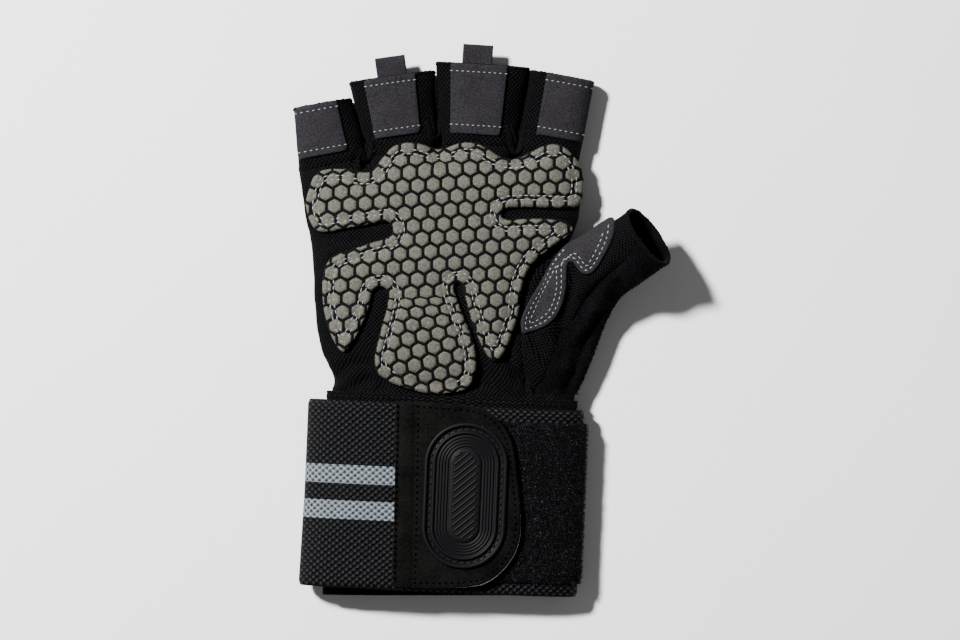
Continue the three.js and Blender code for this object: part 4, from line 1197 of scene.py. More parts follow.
def closed_sheet(top, faces, bottom):
    """A body from an upper and a lower side with the same triangles."""
    n = len(top)
    counts = {}
    for f in faces:
        for a, b in ((f[0], f[1]), (f[1], f[2]), (f[2], f[0])):
            counts[(a, b)] = counts.get((a, b), 0) + 1
    rim = [(a, b) for a, b in counts if (b, a) not in counts]
    every = [tuple(f) for f in faces] + [tuple(n + k for k in f[::-1]) for f in faces]
    every += [(b, a, a + n, b + n) for a, b in rim]
    return np.vstack([top, bottom]), every

# %% A sheet laid on a ground
def laid(name, outline, ground, thickness, radius, material, slot, nodes=(), step=1.6, groove=(), gap=0.1,
         relief=None):
    """A sheet of cloth or leather on a ground."""
    verts, faces = filled(outline, step, (0.25 * radius, 0.6 * radius, radius))
    away = far_from(verts, outline)
    lift = edge_round(away, thickness, radius, 0.35 * thickness)
    for inset, depth, width in groove:
        lift -= depth * np.exp(-(((away - inset) / width) ** 2))
    if relief:
        lift += relief(verts)
    top = ground.lifted(verts, gap + np.maximum(lift, 0.1))
    points, every = closed_sheet(top, faces, ground.lifted(verts, np.full(len(verts), gap)))
    uv = np.vstack([verts, verts])
    return stands_for(place(name, points, every, [material], uvs=uv), slot, *nodes)

# %% [markdown]
# ## Gathers between the fingers
# Where two finger cloths meet the palm there is more edge than room, so the cloth bunches into a U of
# rolled folds. Such a knot is too tight for the skin's own mesh, so it is laid on as two ribs, one
# inside the other, with an uneven hand.

# %% Gathered cloth in the crotches between the fingers
# Bottom, left end and right end of each U
CROTCHES = [((565, 207), (557.5, 188), (570.5, 190)), ((612.5, 193), (607.5, 176), (617.5, 176)),
            ((670, 202.5), (663, 182), (677.5, 182))]
# How far in each rib lies, and its width in mm
RIBS = [(0.0, 2.4), (0.62, 1.7)]


def crotch_gathers():
    """Rolled ribs in the shape of a U, one inside the other."""
    rows = []
    for bottom, left, right in CROTCHES:
        for inset, width in RIBS:
            b = np.array(bottom) - [0, inset * 7]
            middle = (np.array(left) + right) / 2
            l, r = (np.array(p) + (middle - p) * inset * 0.6 for p in (left, right))
            line = curved(spot([l, (l * 0.5 + b * 0.5) - [1.2 * (1 - inset), 0],
                                b - [2.4 * (1 - inset), 1.8], b, b + [2.4 * (1 - inset), -1.8],
                                (r * 0.5 + b * 0.5) + [1.2 * (1 - inset), 0], r]), 0.8)
            line = line + RNG.normal(0, 0.12, line.shape)
            rows.append(bead(line, width, 1.1, PALM_GROUND, 0.2 + 0.4 * inset, 4.0))
    return rows


# The same knit bunched up: its holes close, which leaves a dull black
GATHERED = plain_cloth("gathered_knit", "000000", "0a0a0c", 0.9, 0.6, 0.95)
print("gathers:", len(stitched("crotch_gathers", crotch_gathers(), GATHERED, "knit").data.polygons), "faces")

# %% [markdown]
# ## Terry loops
# The thumb's outer half is terry, there to wipe sweat with. Real terry has a loop every millimetre or
# so. A bump alone would leave the thumb's outline smooth, so 9000 loose strands stand on the cloth, each
# at a point of its outer side that is drawn by seeded chance.

# %% Terry loops
terry = bpy.data.objects["thumb_terry_half_cloth"]
at, out = points_of(terry), normals_of(terry)
nearest = np.argmin(((at[:, None] - SHIFT - THUMB_AXES[0][None]) ** 2).sum(2), axis=1)
away = at - SHIFT - THUMB_AXES[0][nearest]
outer = np.flatnonzero(((out * away).sum(1) > 0) & (at[:, 2] > 0.4))
LOOPS = 9000
chosen = RNG.choice(outer, LOOPS)
# Cotton yarn: the terry's black, a shade lighter at the loop tips as painted light, which lifts the terry out
# of its own shadow
TERRY_LOOP = plain_cloth("terry_loop_yarn", "020203", "121215", 0.5, 0.1, 0.85)
jitter = np.cross(out[chosen], RNG.normal(0, 0.4, (LOOPS, 3)))
print("terry loops:", len(fibres("terry_loops", at[chosen] + jitter, out[chosen], 0.9, 0.2, TERRY_LOOP,
                                 "terry").data.polygons), "faces")

# %% [markdown]
# ## Grip pad
# Foam under a dark mesh, with six-sided cells of grey polymer printed on it. The cells stand 5.9 mm
# apart, with about 1 mm of mesh between them, and are cut off wherever the pad ends. Two rows of pale
# thread hold it down near its edge. The middle tongue is pushed up and bent at its root, so its rows
# crowd there and lean below; its tip is tucked under, and the thread stops short of it.
#
# An array of separate cells on a sheet would do for a flat pad. Here the pad bends and its cells are cut
# by the outline, so one mesh is cut along every cell's edge, and its height is worked out point by point.

# %% Sizes of the pad and its cells, and the print on the tongue
PAD_HIGH, PAD_ROUND, PAD_ROWS = 2.3, 2.6, (3.1, 4.7)
CELL_PITCH, CELL_GAP, CELL_HIGH = 5.85, 1.12, 0.5
CELL_TURN = math.radians(4.5)
CELL_ORIGIN = np.array([-10.44, 31.84])
# Where the tongue's rows begin to crowd, how much they lose, over what length, and how they lean
TONGUE_TOP, TONGUE_PUSH, TONGUE_SPREAD = 9.0, 4.9, 9.0
TONGUE_LEAN, TONGUE_LEAN_RUN, TONGUE_ASIDE, TONGUE_PIVOT = 0.145, 25, 0.165, -22
TONGUE_SIDES = (spot([(575, 296), (565, 330), (560, 346), (560, 376)]),
                spot([(628, 296), (636, 318), (647, 345), (652, 376)]))


def bent_cells(p):
    """Where a place of the flat print goes on the tongue."""
    down = np.maximum(TONGUE_TOP - p[:, 1], 0)
    up = TONGUE_PUSH * (1 - np.exp(-down / TONGUE_SPREAD))
    up = up + TONGUE_LEAN * np.clip(down / TONGUE_LEAN_RUN, 0, 1) * (p[:, 0] - TONGUE_PIVOT)
    return np.column_stack([p[:, 0] + TONGUE_ASIDE * down, p[:, 1] + up])


def on_tongue(p):
    """Whether a place on the table belongs to the tongue."""
    left, right = (np.interp(-p[:, 1], -line[:, 1], line[:, 0]) for line in TONGUE_SIDES)
    return (p[:, 1] < TONGUE_TOP) & (p[:, 0] > left) & (p[:, 0] < right)


def flat_print(verts):
    """The place of the flat print that lies at each point of the pad, found step by step."""
    p = np.array(verts, float)[:, :2]
    bent = on_tongue(p)
    guess = p[bent]
    for _ in range(25):
        guess = guess + 0.7 * (p[bent] - bent_cells(guess))
    p[bent] = guess
    return p

# %% Height of the foam, and the cells
def pad_lift(verts, away):
    """Height of the foam: round at the edge, pulled down by the stitches."""
    lift = edge_round(away, PAD_HIGH, PAD_ROUND, 0.5)
    lift -= sum(0.55 * np.exp(-(((away - row) / 0.7) ** 2)) for row in PAD_ROWS)
    return lift + 0.3 * (1 - np.exp(-np.maximum(away - 4, 0) / 5))


def cell_distance(verts):
    """Distance inwards from the edge of the cell that a point is in; below zero between cells."""
    c, s = math.cos(CELL_TURN), math.sin(CELL_TURN)
    p = (flat_print(verts) - CELL_ORIGIN) @ np.array([[c, -s], [s, c]])
    p = p / CELL_PITCH
    best = None
    row = np.round(p[:, 1] / (math.sqrt(3) / 2))
    for dr in (-1, 0, 1):
        r = row + dr
        cx = np.round(p[:, 0] - 0.5 * (r % 2)) + 0.5 * (r % 2)
        for dc in (-1, 0, 1):
            x, y = p[:, 0] - cx - dc, p[:, 1] - r * math.sqrt(3) / 2
            d = 0.5 - np.max([np.abs(x), np.abs(0.5 * x + 0.8660254 * y),
                              np.abs(0.5 * x - 0.8660254 * y)], axis=0)
            best = d if best is None else np.maximum(best, d)
    return best * CELL_PITCH - CELL_GAP / 2


def cell_centres(outline):
    """Middles of all cells that the flat print may put on the pad."""
    c, s = math.cos(CELL_TURN), math.sin(CELL_TURN)
    back = np.array([[c, s], [-s, c]])
    out = []
    for r in range(-40, 40):
        for k in range(-40, 40):
            out.append(((k + 0.5 * (r % 2)) * CELL_PITCH, r * math.sqrt(3) / 2 * CELL_PITCH))
    out = np.array(out) @ back + CELL_ORIGIN
    return out[inside(out, outline) | (far_from(out, outline) < 2 * CELL_PITCH)]


def hexagon(inset):
    """Corners and side middles of a cell, moved in from its edge."""
    radius = (CELL_PITCH / 2 - CELL_GAP / 2 - inset) / math.cos(math.pi / 6)
    a = np.radians(np.arange(6) * 60 + 30) - CELL_TURN
    corner = radius * np.column_stack([np.cos(a), np.sin(a)])
    return np.vstack([[p, (2 * p + q) / 3, (p + 2 * q) / 3]
                      for p, q in zip(corner, np.roll(corner, -1, axis=0))])

# %% The pad's flat mesh, cut along every cell
rings = (0.0, 0.18, 0.45)
centres = cell_centres(PAD)
every, edges = [PAD], [(i, (i + 1) % len(PAD)) for i in range(len(PAD))]
count = len(PAD)
for inset in (0.45, 1.3, 2.3):
    ring = turned_in(PAD, inset)
    every.append(ring)
    count += len(ring)
for centre in centres:
    places = []
    cell = np.vstack([centre + hexagon(inset) for inset in rings]
                     + [centre + 0.5 * hexagon(0.0)[::3], centre[None]])
    if not on_tongue(cell).all():
        places.append(cell)
    bent = bent_cells(cell)
    if on_tongue(bent).any():
        places.append(bent)
    for cell in places:
        if inside(cell, PAD).any():
            every.append(cell)
            edges += [(count + 18 * r + i, count + 18 * r + (i + 1) % 18)
                      for r in range(3) for i in range(18)]
            count += len(cell)
verts, _, faces, *_ = delaunay_2d_cdt([Vector(p) for p in np.vstack(every)], edges, [], 0, 1e-5)
verts = np.array([v[:] for v in verts])
faces = np.array([f[:3] for f in faces])
faces = faces[inside(verts[faces].mean(1), PAD)]
print("pad's flat mesh:", len(verts), "points")

# %% Its foam, its cells and its two materials
away = far_from(verts, PAD)
rim_cut = np.clip((away - 0.5) / 0.25, 0, 1)
deep = cell_distance(verts)
crown = CELL_HIGH * (0.8 * np.clip(deep / 0.18, 0, 1) + 0.2 * np.clip(deep / 1.2, 0, 1)) * rim_cut
top = PAD_GROUND.lifted(verts, 0.1 + pad_lift(verts, away) + crown)
points, body = closed_sheet(top, faces, PALM_GROUND.lifted(verts, np.full(len(verts), 0.1)))
middle = verts[faces].mean(1)
is_cell = (cell_distance(middle) > 0) & (far_from(middle, PAD) > 0.55)
marks = np.r_[np.where(is_cell, 0, 1), np.ones(len(body) - len(faces))].astype(int)
pad = place("grip_pad_foam", points, body, [CELL, FOAM_COVER], marks)
stands_for(pad, "grip", "grip_pad")
print("grip pad:", len(centres), "cells,", len(body), "faces")

# %% [markdown]
# ## Thread on the pad
# The rows of thread run at 3.1 and 4.7 mm from the edge, in the valleys that they pull into the foam. A
# second kind of ground gives the height on top of a sheet, so one function sews on any piece.

# %% The pad's two rows of thread
class Over:
    """A ground with a sheet on it."""

    def __init__(self, ground, outline, lift):
        self.ground, self.outline, self.lift = ground, outline, lift

    def lifted(self, at, extra):
        away = far_from(at, self.outline)
        return self.ground.lifted(at, 0.1 + self.lift(at, away) + extra)


PAD_TOP = Over(PAD_GROUND, PAD, pad_lift)


def opened(ring):
    """A ring with a gap, turned so that it starts after the gap."""
    start = int(np.argmax(np.linalg.norm(np.diff(np.vstack([ring[-1:], ring]), axis=0), axis=1)))
    return np.roll(ring, -start, axis=0)


rows = []
tucked = spot([(570, 353), (645, 366)])
for inset in PAD_ROWS:
    ring = turned_in(PAD, inset)
    ring = ring[ring[:, 1] > np.interp(ring[:, 0], tucked[:, 0], tucked[:, 1])]
    rows.append(stitch_row(opened(ring), PAD_TOP, 0.42, 2.3, 1.8, 0.48))
print("pad thread:", len(stitched("grip_pad_stitches", rows, THREAD, "grip").data.polygons), "faces")

# %% [markdown]
# ## Finger bands
# The bands are grey suede, stitched across near the open end and near the foot. They are plain
# rectangles that follow each finger's taper, laid on the ground like the patch.

# %% Finger bands
def row_across(finger, share, inset=0.6):
    """A line across a band, at a share of the band's length from its foot."""
    root, on, across, length, root_half, tip_half = finger_axes(finger)
    band, left, right = finger[7:10]
    s = length - band * FINGER_L * (1 - share)
    half = root_half + s / length * (tip_half - root_half)
    ends = [root + s * on + side * across
            for side in (left * half + inset, min(right, BAND_REACH) * half - inset)]
    return np.array(ends) + SHIFT[:2]


rows = []
for finger in FINGERS:
    laid(finger[0] + "_band_suede", band_outline(finger), PALM_GROUND, 1.15, 0.8, SUEDE, "suede",
         (finger[0] + "_band",), 1.5)
    for share in (0.13, 0.9):
        rows.append(stitch_row(row_across(finger, share), PALM_GROUND, 1.22, 2.1, 1.3, 0.42))
print("band thread:", len(stitched("band_stitches", rows, THREAD, "suede").data.polygons), "faces")

# %% [markdown]
# ## Pull tabs
# Gloves of this kind come off a sweaty hand badly, so two fingers have a tab to pull by: a strip of the
# same suede, folded over and sewn into the mouth. A strip of quads follows the fold, and solidify gives it
# 0.8 mm. It is a folded sheet, so its flat size is worked out and printed, with the length measured along the
# fold.

# %% Pull tabs
TAB_WIDE, TAB_REACH, TAB_INSIDE, TAB_BEND = 11.6, 8.2, -3.5, 0.7


def pull_tab(finger):
    """A folded strip; gives its length when flat."""
    root, on, across, length, *_ = finger_axes(finger)
    mouth = root + length * on + finger[10] * TAB_WIDE * across + SHIFT[:2]
    outer, top = 1.15, FINGER_H - WALL - 0.6
    middle, bend = top - outer, TAB_REACH - outer
    turns = np.linspace(np.pi / 2, -np.pi / 2, 13)
    reach = np.r_[np.linspace(TAB_INSIDE, bend, 8)[:-1], bend + TAB_BEND * np.cos(turns),
                  np.linspace(bend, TAB_INSIDE, 8)[1:]]
    high = np.r_[np.full(7, TAB_BEND), TAB_BEND * np.sin(turns), np.full(7, -TAB_BEND)] + middle
    width = np.linspace(-TAB_WIDE / 2, TAB_WIDE / 2, 15)
    points = [[*(mouth + s * on + w * across), z + 0.12 * math.sin(w * 0.9 + s)] for s, z in zip(reach, high)
              for w in width]
    piece = place(finger[0] + "_pull_tab_suede", points, grid_faces(len(reach), 15), [SUEDE],
                  uvs=np.column_stack([np.tile(width, len(reach)), np.repeat(np.arange(len(reach)), 15)]))
    thick = piece.modifiers.new("suede", "SOLIDIFY")
    thick.thickness, thick.offset = 0.8 * MM, 0
    stands_for(applied(piece), "suede", finger[0] + "_pull_tab")
    cut = float(np.linalg.norm(np.diff(np.column_stack([reach, high]), axis=0), axis=1).sum()) * MM
    return cut


print("tab strips, mm:", [round(pull_tab(f) / MM, 1) for f in FINGERS if f[10] is not None])

# %% [markdown]
# ## Thumb patch
# A bar pulls hardest between thumb and palm, so a suede patch covers that crotch, held by two rows of pale
# thread. Its upper end runs over the edge of the hand and out of sight, and the thread stops there.

# %% Patch in the crotch of the thumb
def patch_lift(verts, away):
    """Height of the suede: a cut edge, and the valley of the outer row of thread."""
    return edge_round(away, 1.1, 0.9, 0.4) - 0.25 * np.exp(-(((away - 1.8) / 0.5) ** 2))


laid("thumb_patch_suede", PATCH, PALM_GROUND, 1.1, 0.9, SUEDE, "suede", ("thumb_patch",), 1.4,
     ((1.8, 0.25, 0.5),))
PATCH_TOP = Over(PALM_GROUND, PATCH, patch_lift)
UNSEWN = spot([(706, 266.8), (718, 260.5), (730, 252), (737, 249)])
rows = []
for inset in (1.7, 3.3):
    ring = turned_in(PATCH, inset)
    ring = ring[far_from(ring, UNSEWN, False) > inset + 1.0]
    rows.append(stitch_row(opened(ring), PATCH_TOP, 0.2, 2.1, 1.3, 0.42))
print("patch thread:", len(stitched("thumb_patch_stitches", rows, THREAD, "suede").data.polygons), "faces")

# %% [markdown]
# ## Wrist wrap
# One strap of webbing goes once round the cuff and on over itself, falling a little with each turn, and a
# panel of loop pile lies on the first turn for the flap to hold on to. A spiral with an array of threads
# would be the long way. A band swept round a squarish oval does it here: each station is a thin section
# with rounded edges, and the radius climbs by the strap's own thickness where the strap meets its start.

# %% The wrap's own axes
def wrap_point(turn, grow):
    """Sideways place and height on the wrap's oval, at an angle and a distance off it."""
    bent = lambda v: np.sign(v) * np.abs(v) ** (2 / 3)
    half = (WRAP_H + SAG) / 2
    return ((WRAP_HALF + grow) * bent(np.cos(turn)),
            np.maximum(np.maximum(half - SAG + (half + grow) * bent(np.sin(turn)), -grow), 0))


def on_table(points):
    """From the wrap's axes to the row's, in mm."""
    p = np.asarray(points, float)
    c, s = math.cos(-TILT), math.sin(-TILT)
    x, y = p[:, 0] * c - p[:, 1] * s + WRAP_X, p[:, 0] * s + p[:, 1] * c + WRAP_Y
    return np.column_stack([x, y, p[:, 2]]) + SHIFT


def turn_over(x, grow):
    """The angle at which the oval's top is so far to the side."""
    return math.acos(math.copysign(abs(x / (WRAP_HALF + grow)) ** 1.5, x))

# %% A band wound round the oval
# Its lower corner stands out a little, as elastic does when it is pulled, and each turn drops by a bit
STRAP_FLARE, TURN_DROP = 0.03, 0.6


def wound(name, start, end, steps, inner, thickness, width, material, slot, node, columns=36, wave=0.0):
    """A band laid round the wrap, with rounded edges and the cloth's places in its UV map."""
    turns = np.linspace(start, end, steps)
    across = np.linspace(-1, 1, columns)
    edge = np.sqrt(np.clip(1 - np.maximum(np.abs(across) * width / 2 - width / 2 + 0.8, 0) ** 2 / 0.64, 0, 1))
    points, uvs, run, last = [], [], 0.0, None
    for turn in turns:
        drop = TURN_DROP * (turn + 1.5 * math.pi) / (2 * math.pi)
        x, z = wrap_point(turn, inner(turn) + thickness / 2)
        run += 0 if last is None else math.hypot(x - last[0], z - last[1])
        last = (x, z)
        ripple = wave * np.sin(across * 5 + turn * 7) * max(0.0, math.sin(turn))
        ring = []
        for face in (1, -1):
            order = slice(None) if face > 0 else slice(None, None, -1)
            off = face * thickness / 2 * np.maximum(edge, 0.15)[order]
            px, pz = wrap_point(turn, inner(turn) + thickness / 2 + off + (ripple if face > 0 else 0))
            y = (across * width / 2)[order]
            flare = 1 + STRAP_FLARE * (px < 0) * np.clip(-y / width, 0, 1)
            ring.append(np.column_stack([px * flare, y - drop, pz * np.ones(columns)]))
            uvs.append(np.column_stack([np.full(columns, run), y]))
        points.append(np.vstack(ring))
    count = 2 * columns
    n = len(turns) * count
    faces = [f[::-1] for f in grid_faces(len(turns), count, True)]
    faces += [tuple(range(count)), tuple(range(n - 1, n - count - 1, -1))]
    piece = place(name, on_table(np.vstack(points)), faces, [material], uvs=np.vstack(uvs))
    print(name, round(run, 1), "mm long")
    return stands_for(piece, slot, node)

# %% The strap and the loop panel
OUTER_RISE = 0.8 + 0.6


def climb(turn):
    """How far off the oval the strap's inner side is: below it at first, then on top of its own start."""
    t = np.clip((-turn - 0.75 * np.pi) / (0.45 * np.pi), 0, 1)
    return -STRAP_T + t * t * (3 - 2 * t) * (OUTER_RISE + STRAP_T)


wound("wrist_strap_webbing", turn_over(-22, 0), turn_over(-13, OUTER_RISE) - 2 * math.pi, 300, climb,
      STRAP_T, STRAP_W, WEBBING, "webbing", "wrist_strap", 44, 0.12)
LOOP_OFF, LOOP_THICK, LOOP_WIDE = 0.25, 0.9, 61.5
wound("loop_pile_panel", turn_over(-6, 0), -0.4, 110, lambda turn: LOOP_OFF, LOOP_THICK, LOOP_WIDE, LOOP,
      "loop", "loop_panel", 40, 0.1)

# %% [markdown]
# ## End flap
# The strap ends in a flap of black nubuck with a round free end. Beside the strap it has a sunk line, a
# padded welt and a sewn seam, and a row of black stitches runs round its edge. Below it lies the hook
# tape, whose glossy edge shows at the round end as a thin line, painted pale as a highlight. Both are sheets
# laid on the wrap's own oval.

# %% The flap's outline and ground
def wrap_ground(grow):
    """Heights of the wrap's top, a distance off its base form."""
    def height(x, y):
        c, s = math.cos(TILT), math.sin(TILT)
        dx, dy = x - SHIFT[0] - WRAP_X, y - SHIFT[1] - WRAP_Y
        u = dx * c - dy * s
        share = min(0.999, abs(u) / (WRAP_HALF + grow))
        half = (WRAP_H + SAG) / 2
        return half - SAG + (half + grow) * (1 - share**3) ** (1 / 3)
    return Ground(height, (-45, -115), (35, -20), 0.8, 1)


FLAP = curved(spot([
    (586.5, 376.2), (602, 376.3), (622, 378), (638, 379.2), (648.3, 382.5), (656.7, 387.7), (663.3, 396.7),
    (667.5, 406.7), (670, 425), (672, 445), (672.7, 463), (671.3, 473.3), (667.5, 483.5), (660, 493.3),
    (651.7, 500), (641.7, 504), (622, 505.5), (605, 505.4), (584, 504.6),
]), 1.2)
FLAP = resampled(np.vstack([FLAP, FLAP[:1]]), 1.2)[:-1]
FLAP_SEAM = spot([(586.5, 374), (584, 508)])
FLAP_GROUND = wrap_ground(OUTER_RISE + STRAP_T + 0.2)
HOOK_GROUND = wrap_ground(OUTER_RISE - 0.1)
print("flap, points of outline:", len(FLAP))

# %% The flap and the hook tape
def flap_welts(verts):
    """A sunk line beside the strap, a rounded welt, and a sunk seam."""
    away = far_from(verts, FLAP_SEAM, False)
    sunk = 0.55 * np.exp(-(((away - 1.1) / 0.5) ** 2)) + 0.6 * np.exp(-(((away - 7.6) / 0.55) ** 2))
    return 0.3 * np.exp(-(((away - 4.3) / 2.2) ** 4)) - sunk + 0.08 * np.sin(verts[:, 1] * 0.5) * (away > 8)


def flap_lift(verts, away):
    """Height of the nubuck: a cut edge, and the valley of its row of thread."""
    return edge_round(away, 1.1, 0.8, 0.4) - 0.18 * np.exp(-(((away - 1.9) / 0.5) ** 2))


laid("strap_end_flap_nubuck", FLAP, FLAP_GROUND, 1.1, 0.8, NUBUCK, "nubuck", ("strap_end_flap",), 1.0,
     ((1.9, 0.18, 0.5),), relief=flap_welts)
FLAP_TOP = Over(FLAP_GROUND, FLAP, flap_lift)
HOOK_LINE = turned_in(FLAP, 0.6) + np.array([0.7, -0.72])
HOOK_LINE = HOOK_LINE[HOOK_LINE[:, 0] > spot([(607, 440)])[0, 0]]
laid("hook_tape_edge", HOOK_LINE, HOOK_GROUND, 1.5, 0.5, HOOK, "hook", ("hook_tape",), 2.2)

# %% The flap's thread, pulled deep into the nubuck
border = turned_in(FLAP, 1.9)
border = border[far_from(border, FLAP_SEAM, False) > 3]
# Pure black thread stands in for the painted shade in the stitch holes
rows = [stitch_row(opened(border), FLAP_TOP, -0.05, 2.35, 1.35, 0.8)]
for off in (0.7, 8.6):
    seam = FLAP_SEAM + np.array([off, 0])
    seam = resampled(seam, 1.0)[3:-5]
    rows.append(stitch_row(seam, FLAP_TOP, -0.15, 2.35, 1.35, 0.8))
print("flap thread:", len(stitched("flap_stitches", rows, PIT_SHADE_THREAD, "nubuck").data.polygons), "faces")

# %% [markdown]
# ## Rubber badge
# A moulded badge is sewn on the flap. Its design is plain: a rim, a groove for the thread, a second
# rim, thin ridges and a raised middle with slanting ribs. A mould is cut in steps from the edge inwards,
# so the badge is a stack of outlines, each moved in a little and given its height.

# %% The badge, as outlines one inside the other
BADGE_C = spot([(634.0, 441.3)])[0]
BADGE_W, BADGE_L = 15.9, 27.9
BADGE_FLOOR, BADGE_FOOT, PLATEAU = 0.35, 1.15, 0.98


def badge_rings(inset, count=120):
    """The badge's outline moved in: a stadium, leaning as the wrap does."""
    turns = np.linspace(0, 2 * np.pi, count, endpoint=False)
    r = BADGE_W - inset
    ends = np.sign(np.sin(turns)) * (BADGE_L - BADGE_W)
    ring = np.column_stack([r * np.cos(turns), r * np.sin(turns) + ends])
    c, s = math.cos(-TILT), math.sin(-TILT)
    return ring @ np.array([[c, s], [-s, c]]) + BADGE_C


def badge():
    """Rim, groove for the sewing, second rim, thin ridges and a plateau."""
    profile = [(0, 0.0), (0.05, 0.8), (0.25, 1.2), (0.6, 1.4), (1.05, 1.4), (1.4, 1.2), (1.6, 0.8),
               (1.75, BADGE_FLOOR), (3.1, BADGE_FLOOR), (3.25, 0.8), (3.5, 1.1), (3.85, 1.2), (4.2, 1.1),
               (4.45, 0.8), (4.6, BADGE_FLOOR)]
    inset = 5.2
    while inset < 9.4:
        profile += [(inset + off, high) for off, high in
                    ((0, 0.4), (0.12, 0.72), (0.35, 0.82), (0.58, 0.72), (0.7, 0.4))]
        inset += 1.12
    profile += [(9.9, 0.4), (10.05, 0.8), (10.3, 0.95), (11.2, PLATEAU), (13.0, PLATEAU), (14.6, PLATEAU),
                (15.5, PLATEAU)]
    rings = [badge_rings(inset) for inset, _ in profile]
    lifts = np.repeat([high for _, high in profile], 120)
    flat = np.vstack(rings)
    top = FLAP_GROUND.lifted(flat, BADGE_FOOT + lifts)
    n = len(flat)
    faces = grid_faces(len(profile), 120, True)
    inner = list(range(n - 120, n))
    faces += [(inner[k], inner[k + 1], inner[-k - 1], inner[(-k) % 120]) for k in range(1, 60)]
    faces += [(inner[0], inner[1], inner[-1]), tuple(range(120))[::-1]]
    piece = place("rubber_badge_relief", top, faces, [RUBBER], uvs=flat)
    return stands_for(piece, "badge", "rubber_badge")


print("badge:", len(badge().data.polygons), "faces")

# %% The badge's ribs and its thread
RIB_PITCH, RIB_SLANT = 2.5, 0.8


def badge_ribs():
    """Slanting ribs on the plateau, clipped to its outline."""
    edge = badge_rings(10.9)
    rows = []
    for k in range(-14, 15):
        line = np.linspace([-30, -30 * RIB_SLANT], [30, 30 * RIB_SLANT], 160) + [0, k * RIB_PITCH] + BADGE_C
        line = line[inside(line, edge)]
        if len(line) > 6:
            rows.append(bead(line, 0.9, 0.35, FLAP_GROUND, BADGE_FOOT + PLATEAU, 0.8))
    return rows


print("badge ribs:", len(stitched("rubber_badge_ribs", badge_ribs(), RUBBER, "badge").data.polygons), "faces")
row = stitch_row(badge_rings(2.4), FLAP_GROUND, BADGE_FOOT + BADGE_FLOOR + 0.12, 2.7, 1.7, 0.7, True)
stitched("rubber_badge_stitches", [row], DARK_THREAD, "badge")

# %% [markdown]
# ## Pile of the loop panel
# Loop tape is a mat of fine nylon loops, brushed up so that hooks catch in it. The mat is the panel made
# above; what shows it as a pile are the strands that stand out of it and break its outline. They are
# spread evenly over the panel's bend, 6500 of them, drawn wider than real ones so that they show.

# %% Fibres of the loop panel
PILE_DROP = 0.55


def loop_fibres(count=6500):
    """Roots at even places over the panel's curve, from the flap to its far edge."""
    table = np.array([wrap_point(t, LOOP_OFF + 0.85) for t in np.linspace(-0.3, turn_over(10, 0), 500)])
    run = np.r_[0, np.cumsum(np.linalg.norm(np.diff(table, axis=0), axis=1))]
    at = RNG.uniform(0, run[-1], count)
    x, z = np.interp(at, run, table[:, 0]), np.interp(at, run, table[:, 1])
    slope = np.gradient(table, run, axis=0)
    dx, dz = np.interp(at, run, slope[:, 0]), np.interp(at, run, slope[:, 1])
    normals = np.column_stack([dz, np.zeros(count), -dx])
    y = RNG.uniform(-30.4, 30.4, count) - PILE_DROP
    return on_table(np.column_stack([x, y, z])), normals


roots, normals = loop_fibres()
# Brushed nylon: black strands, some with painted glints
PILE = plain_cloth("loop_fibre_nylon", "020202", "0f1012", 0.5, 0.1, 0.6, painted_glint="50535a")
pile = fibres("loop_pile_fibres", roots, normals, 1.7, 0.17, PILE, "loop")
print("pile:", len(pile.data.polygons), "faces")

# %% [markdown]
# ## Wrist tape
# Between hand and wrap a woven tape is sewn round the cuff, which hides the raw edge of the knit. It is a
# sleeve swept round the cuff's own section, with a welt at each edge and a row of black thread.

# %% Tape that is sewn round the hand above the wrap
# Place along the hand and distance off the skin, in mm
TAPE_PROFILE = [(-6.0, 0.3), (-5.9, 0.8), (-5.4, 1.0), (-3.0, 0.95), (-1.6, 0.95), (-1.2, 0.7), (-0.8, 0.95),
                (0.6, 1.0), (0.9, 0.75), (1.2, 1.05), (1.7, 1.05), (1.95, 0.8), (2.0, 0.3)]


def wrist_tape():
    """A sleeve round the cuff that follows the wrap's tilt."""
    rings = []
    for y, grow in TAPE_PROFILE:
        left, right, low, high = between(ROWS[:, 0], ROWS[:, 1:], np.array([y]))[0]
        x, z = oval(140, (right - left) / 2 + grow, (high - low) / 2 + grow, PALM_SQUARENESS)
        px = (left + right) / 2 + x
        py = y - (px - WRAP_X) * math.tan(TILT)
        rings.append(np.column_stack([px, py, np.maximum((high + low) / 2 + z, 0)]) + SHIFT)
    uv = np.vstack([np.column_stack([np.linspace(0, 240, 140), np.full(140, y)]) for y, _ in TAPE_PROFILE])
    piece = place("wrist_tape_band", np.vstack(rings), grid_faces(len(rings), 140, True), [BINDING], uvs=uv)
    thick = piece.modifiers.new("tape", "SOLIDIFY")
    thick.thickness, thick.offset = 0.5 * MM, 1
    return stands_for(applied(piece), "webbing", "wrist_tape")


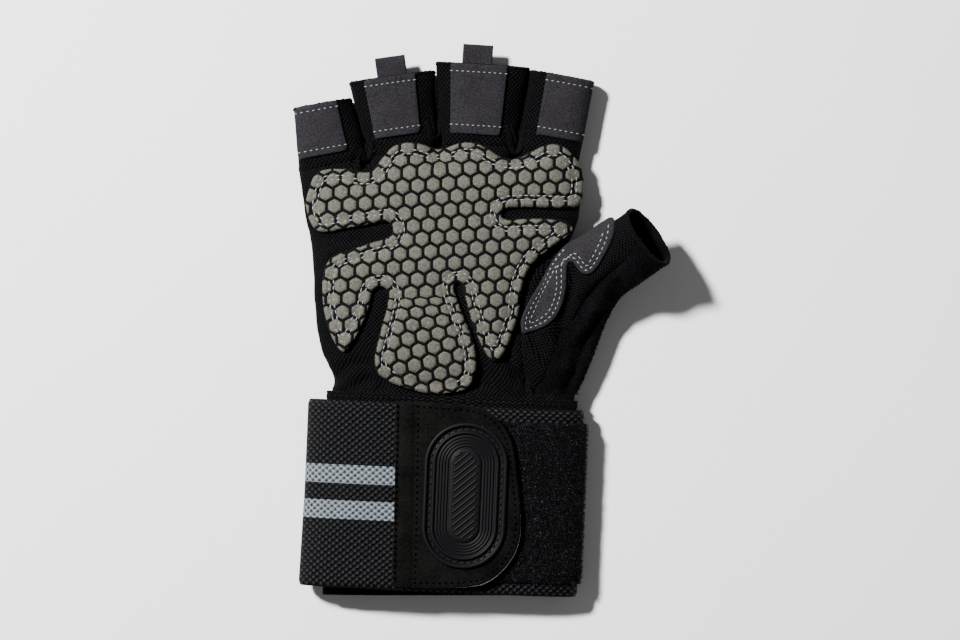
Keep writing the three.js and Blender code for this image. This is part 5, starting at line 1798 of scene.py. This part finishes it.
print("wrist tape:", len(wrist_tape().data.polygons), "faces")
across = np.linspace(-44, 44, 60)
line = np.column_stack([across, across * -math.tan(TILT)]) + SHIFT[:2] + [0, 0.2]
stitched("wrist_tape_stitches", [stitch_row(line, PALM_GROUND, 1.25, 2.2, 1.4, 0.4)], DARK_THREAD, "webbing")

# %% [markdown]
# ## Floor, light and camera
# The view is straight down on a plain pale floor, with the light from the upper left and the shadow to
# the lower right. A small area lamp gives that shadow its fairly sharp edge, a large weak one and the
# world fill it in, and a long lens keeps the glove free of perspective.

# %% The floor and the lamps
FLOOR_HALF = 2500


def stage():
    """A plain pale floor just below the glove."""
    corners = [(x * FLOOR_HALF, y * FLOOR_HALF, 0) for x, y in ((-1, -1), (1, -1), (1, 1), (-1, 1))]
    floor = place("floor", corners, [(0, 1, 2, 3)])
    floor.location.z = -0.0002
    # Matt paper: an even pale ground without a reflection
    paper, tree, shader = surface("white_paper", 0.9)
    tree.links.new(blended(tree, speckle(tree, 120), "ececec", "f2f2f2"), shader.inputs["Base Color"])
    floor.data.materials.append(paper)


def lamp(name, place_at, size, power):
    """An area lamp that points at the glove, in metres and watts."""
    light = bpy.data.lights.new(name, "AREA")
    light.size, light.energy = size, power
    made = bpy.data.objects.new(name, light)
    made.location = place_at
    made.rotation_mode = "QUATERNION"
    made.rotation_quaternion = (-Vector(place_at)).to_track_quat("-Z", "Y")
    bpy.context.scene.collection.objects.link(made)


stage()
lamp("key", (-0.78, 0.6, 1.08), 0.16, 84)
lamp("fill", (0.6, -0.5, 1.6), 1.6, 1.2)
world = bpy.data.worlds.new("studio")
world.use_nodes = True
world.node_tree.nodes["Background"].inputs["Color"].default_value = (1, 1, 1, 1)
world.node_tree.nodes["Background"].inputs["Strength"].default_value = 0.13
bpy.context.scene.world = world
print("lamps:", len(bpy.data.lights))

# %% The camera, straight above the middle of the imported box
camera = bpy.data.objects.new("camera", bpy.data.cameras.new("camera"))
camera.data.lens, camera.data.sensor_width = 120, 36
centre = (CAD_LOW + CAD_HIGH) / 2
camera.location = (centre.x, centre.y, 1.24)
bpy.context.scene.collection.objects.link(camera)
bpy.context.scene.camera = camera
print("camera, m:", [round(v, 3) for v in camera.location])
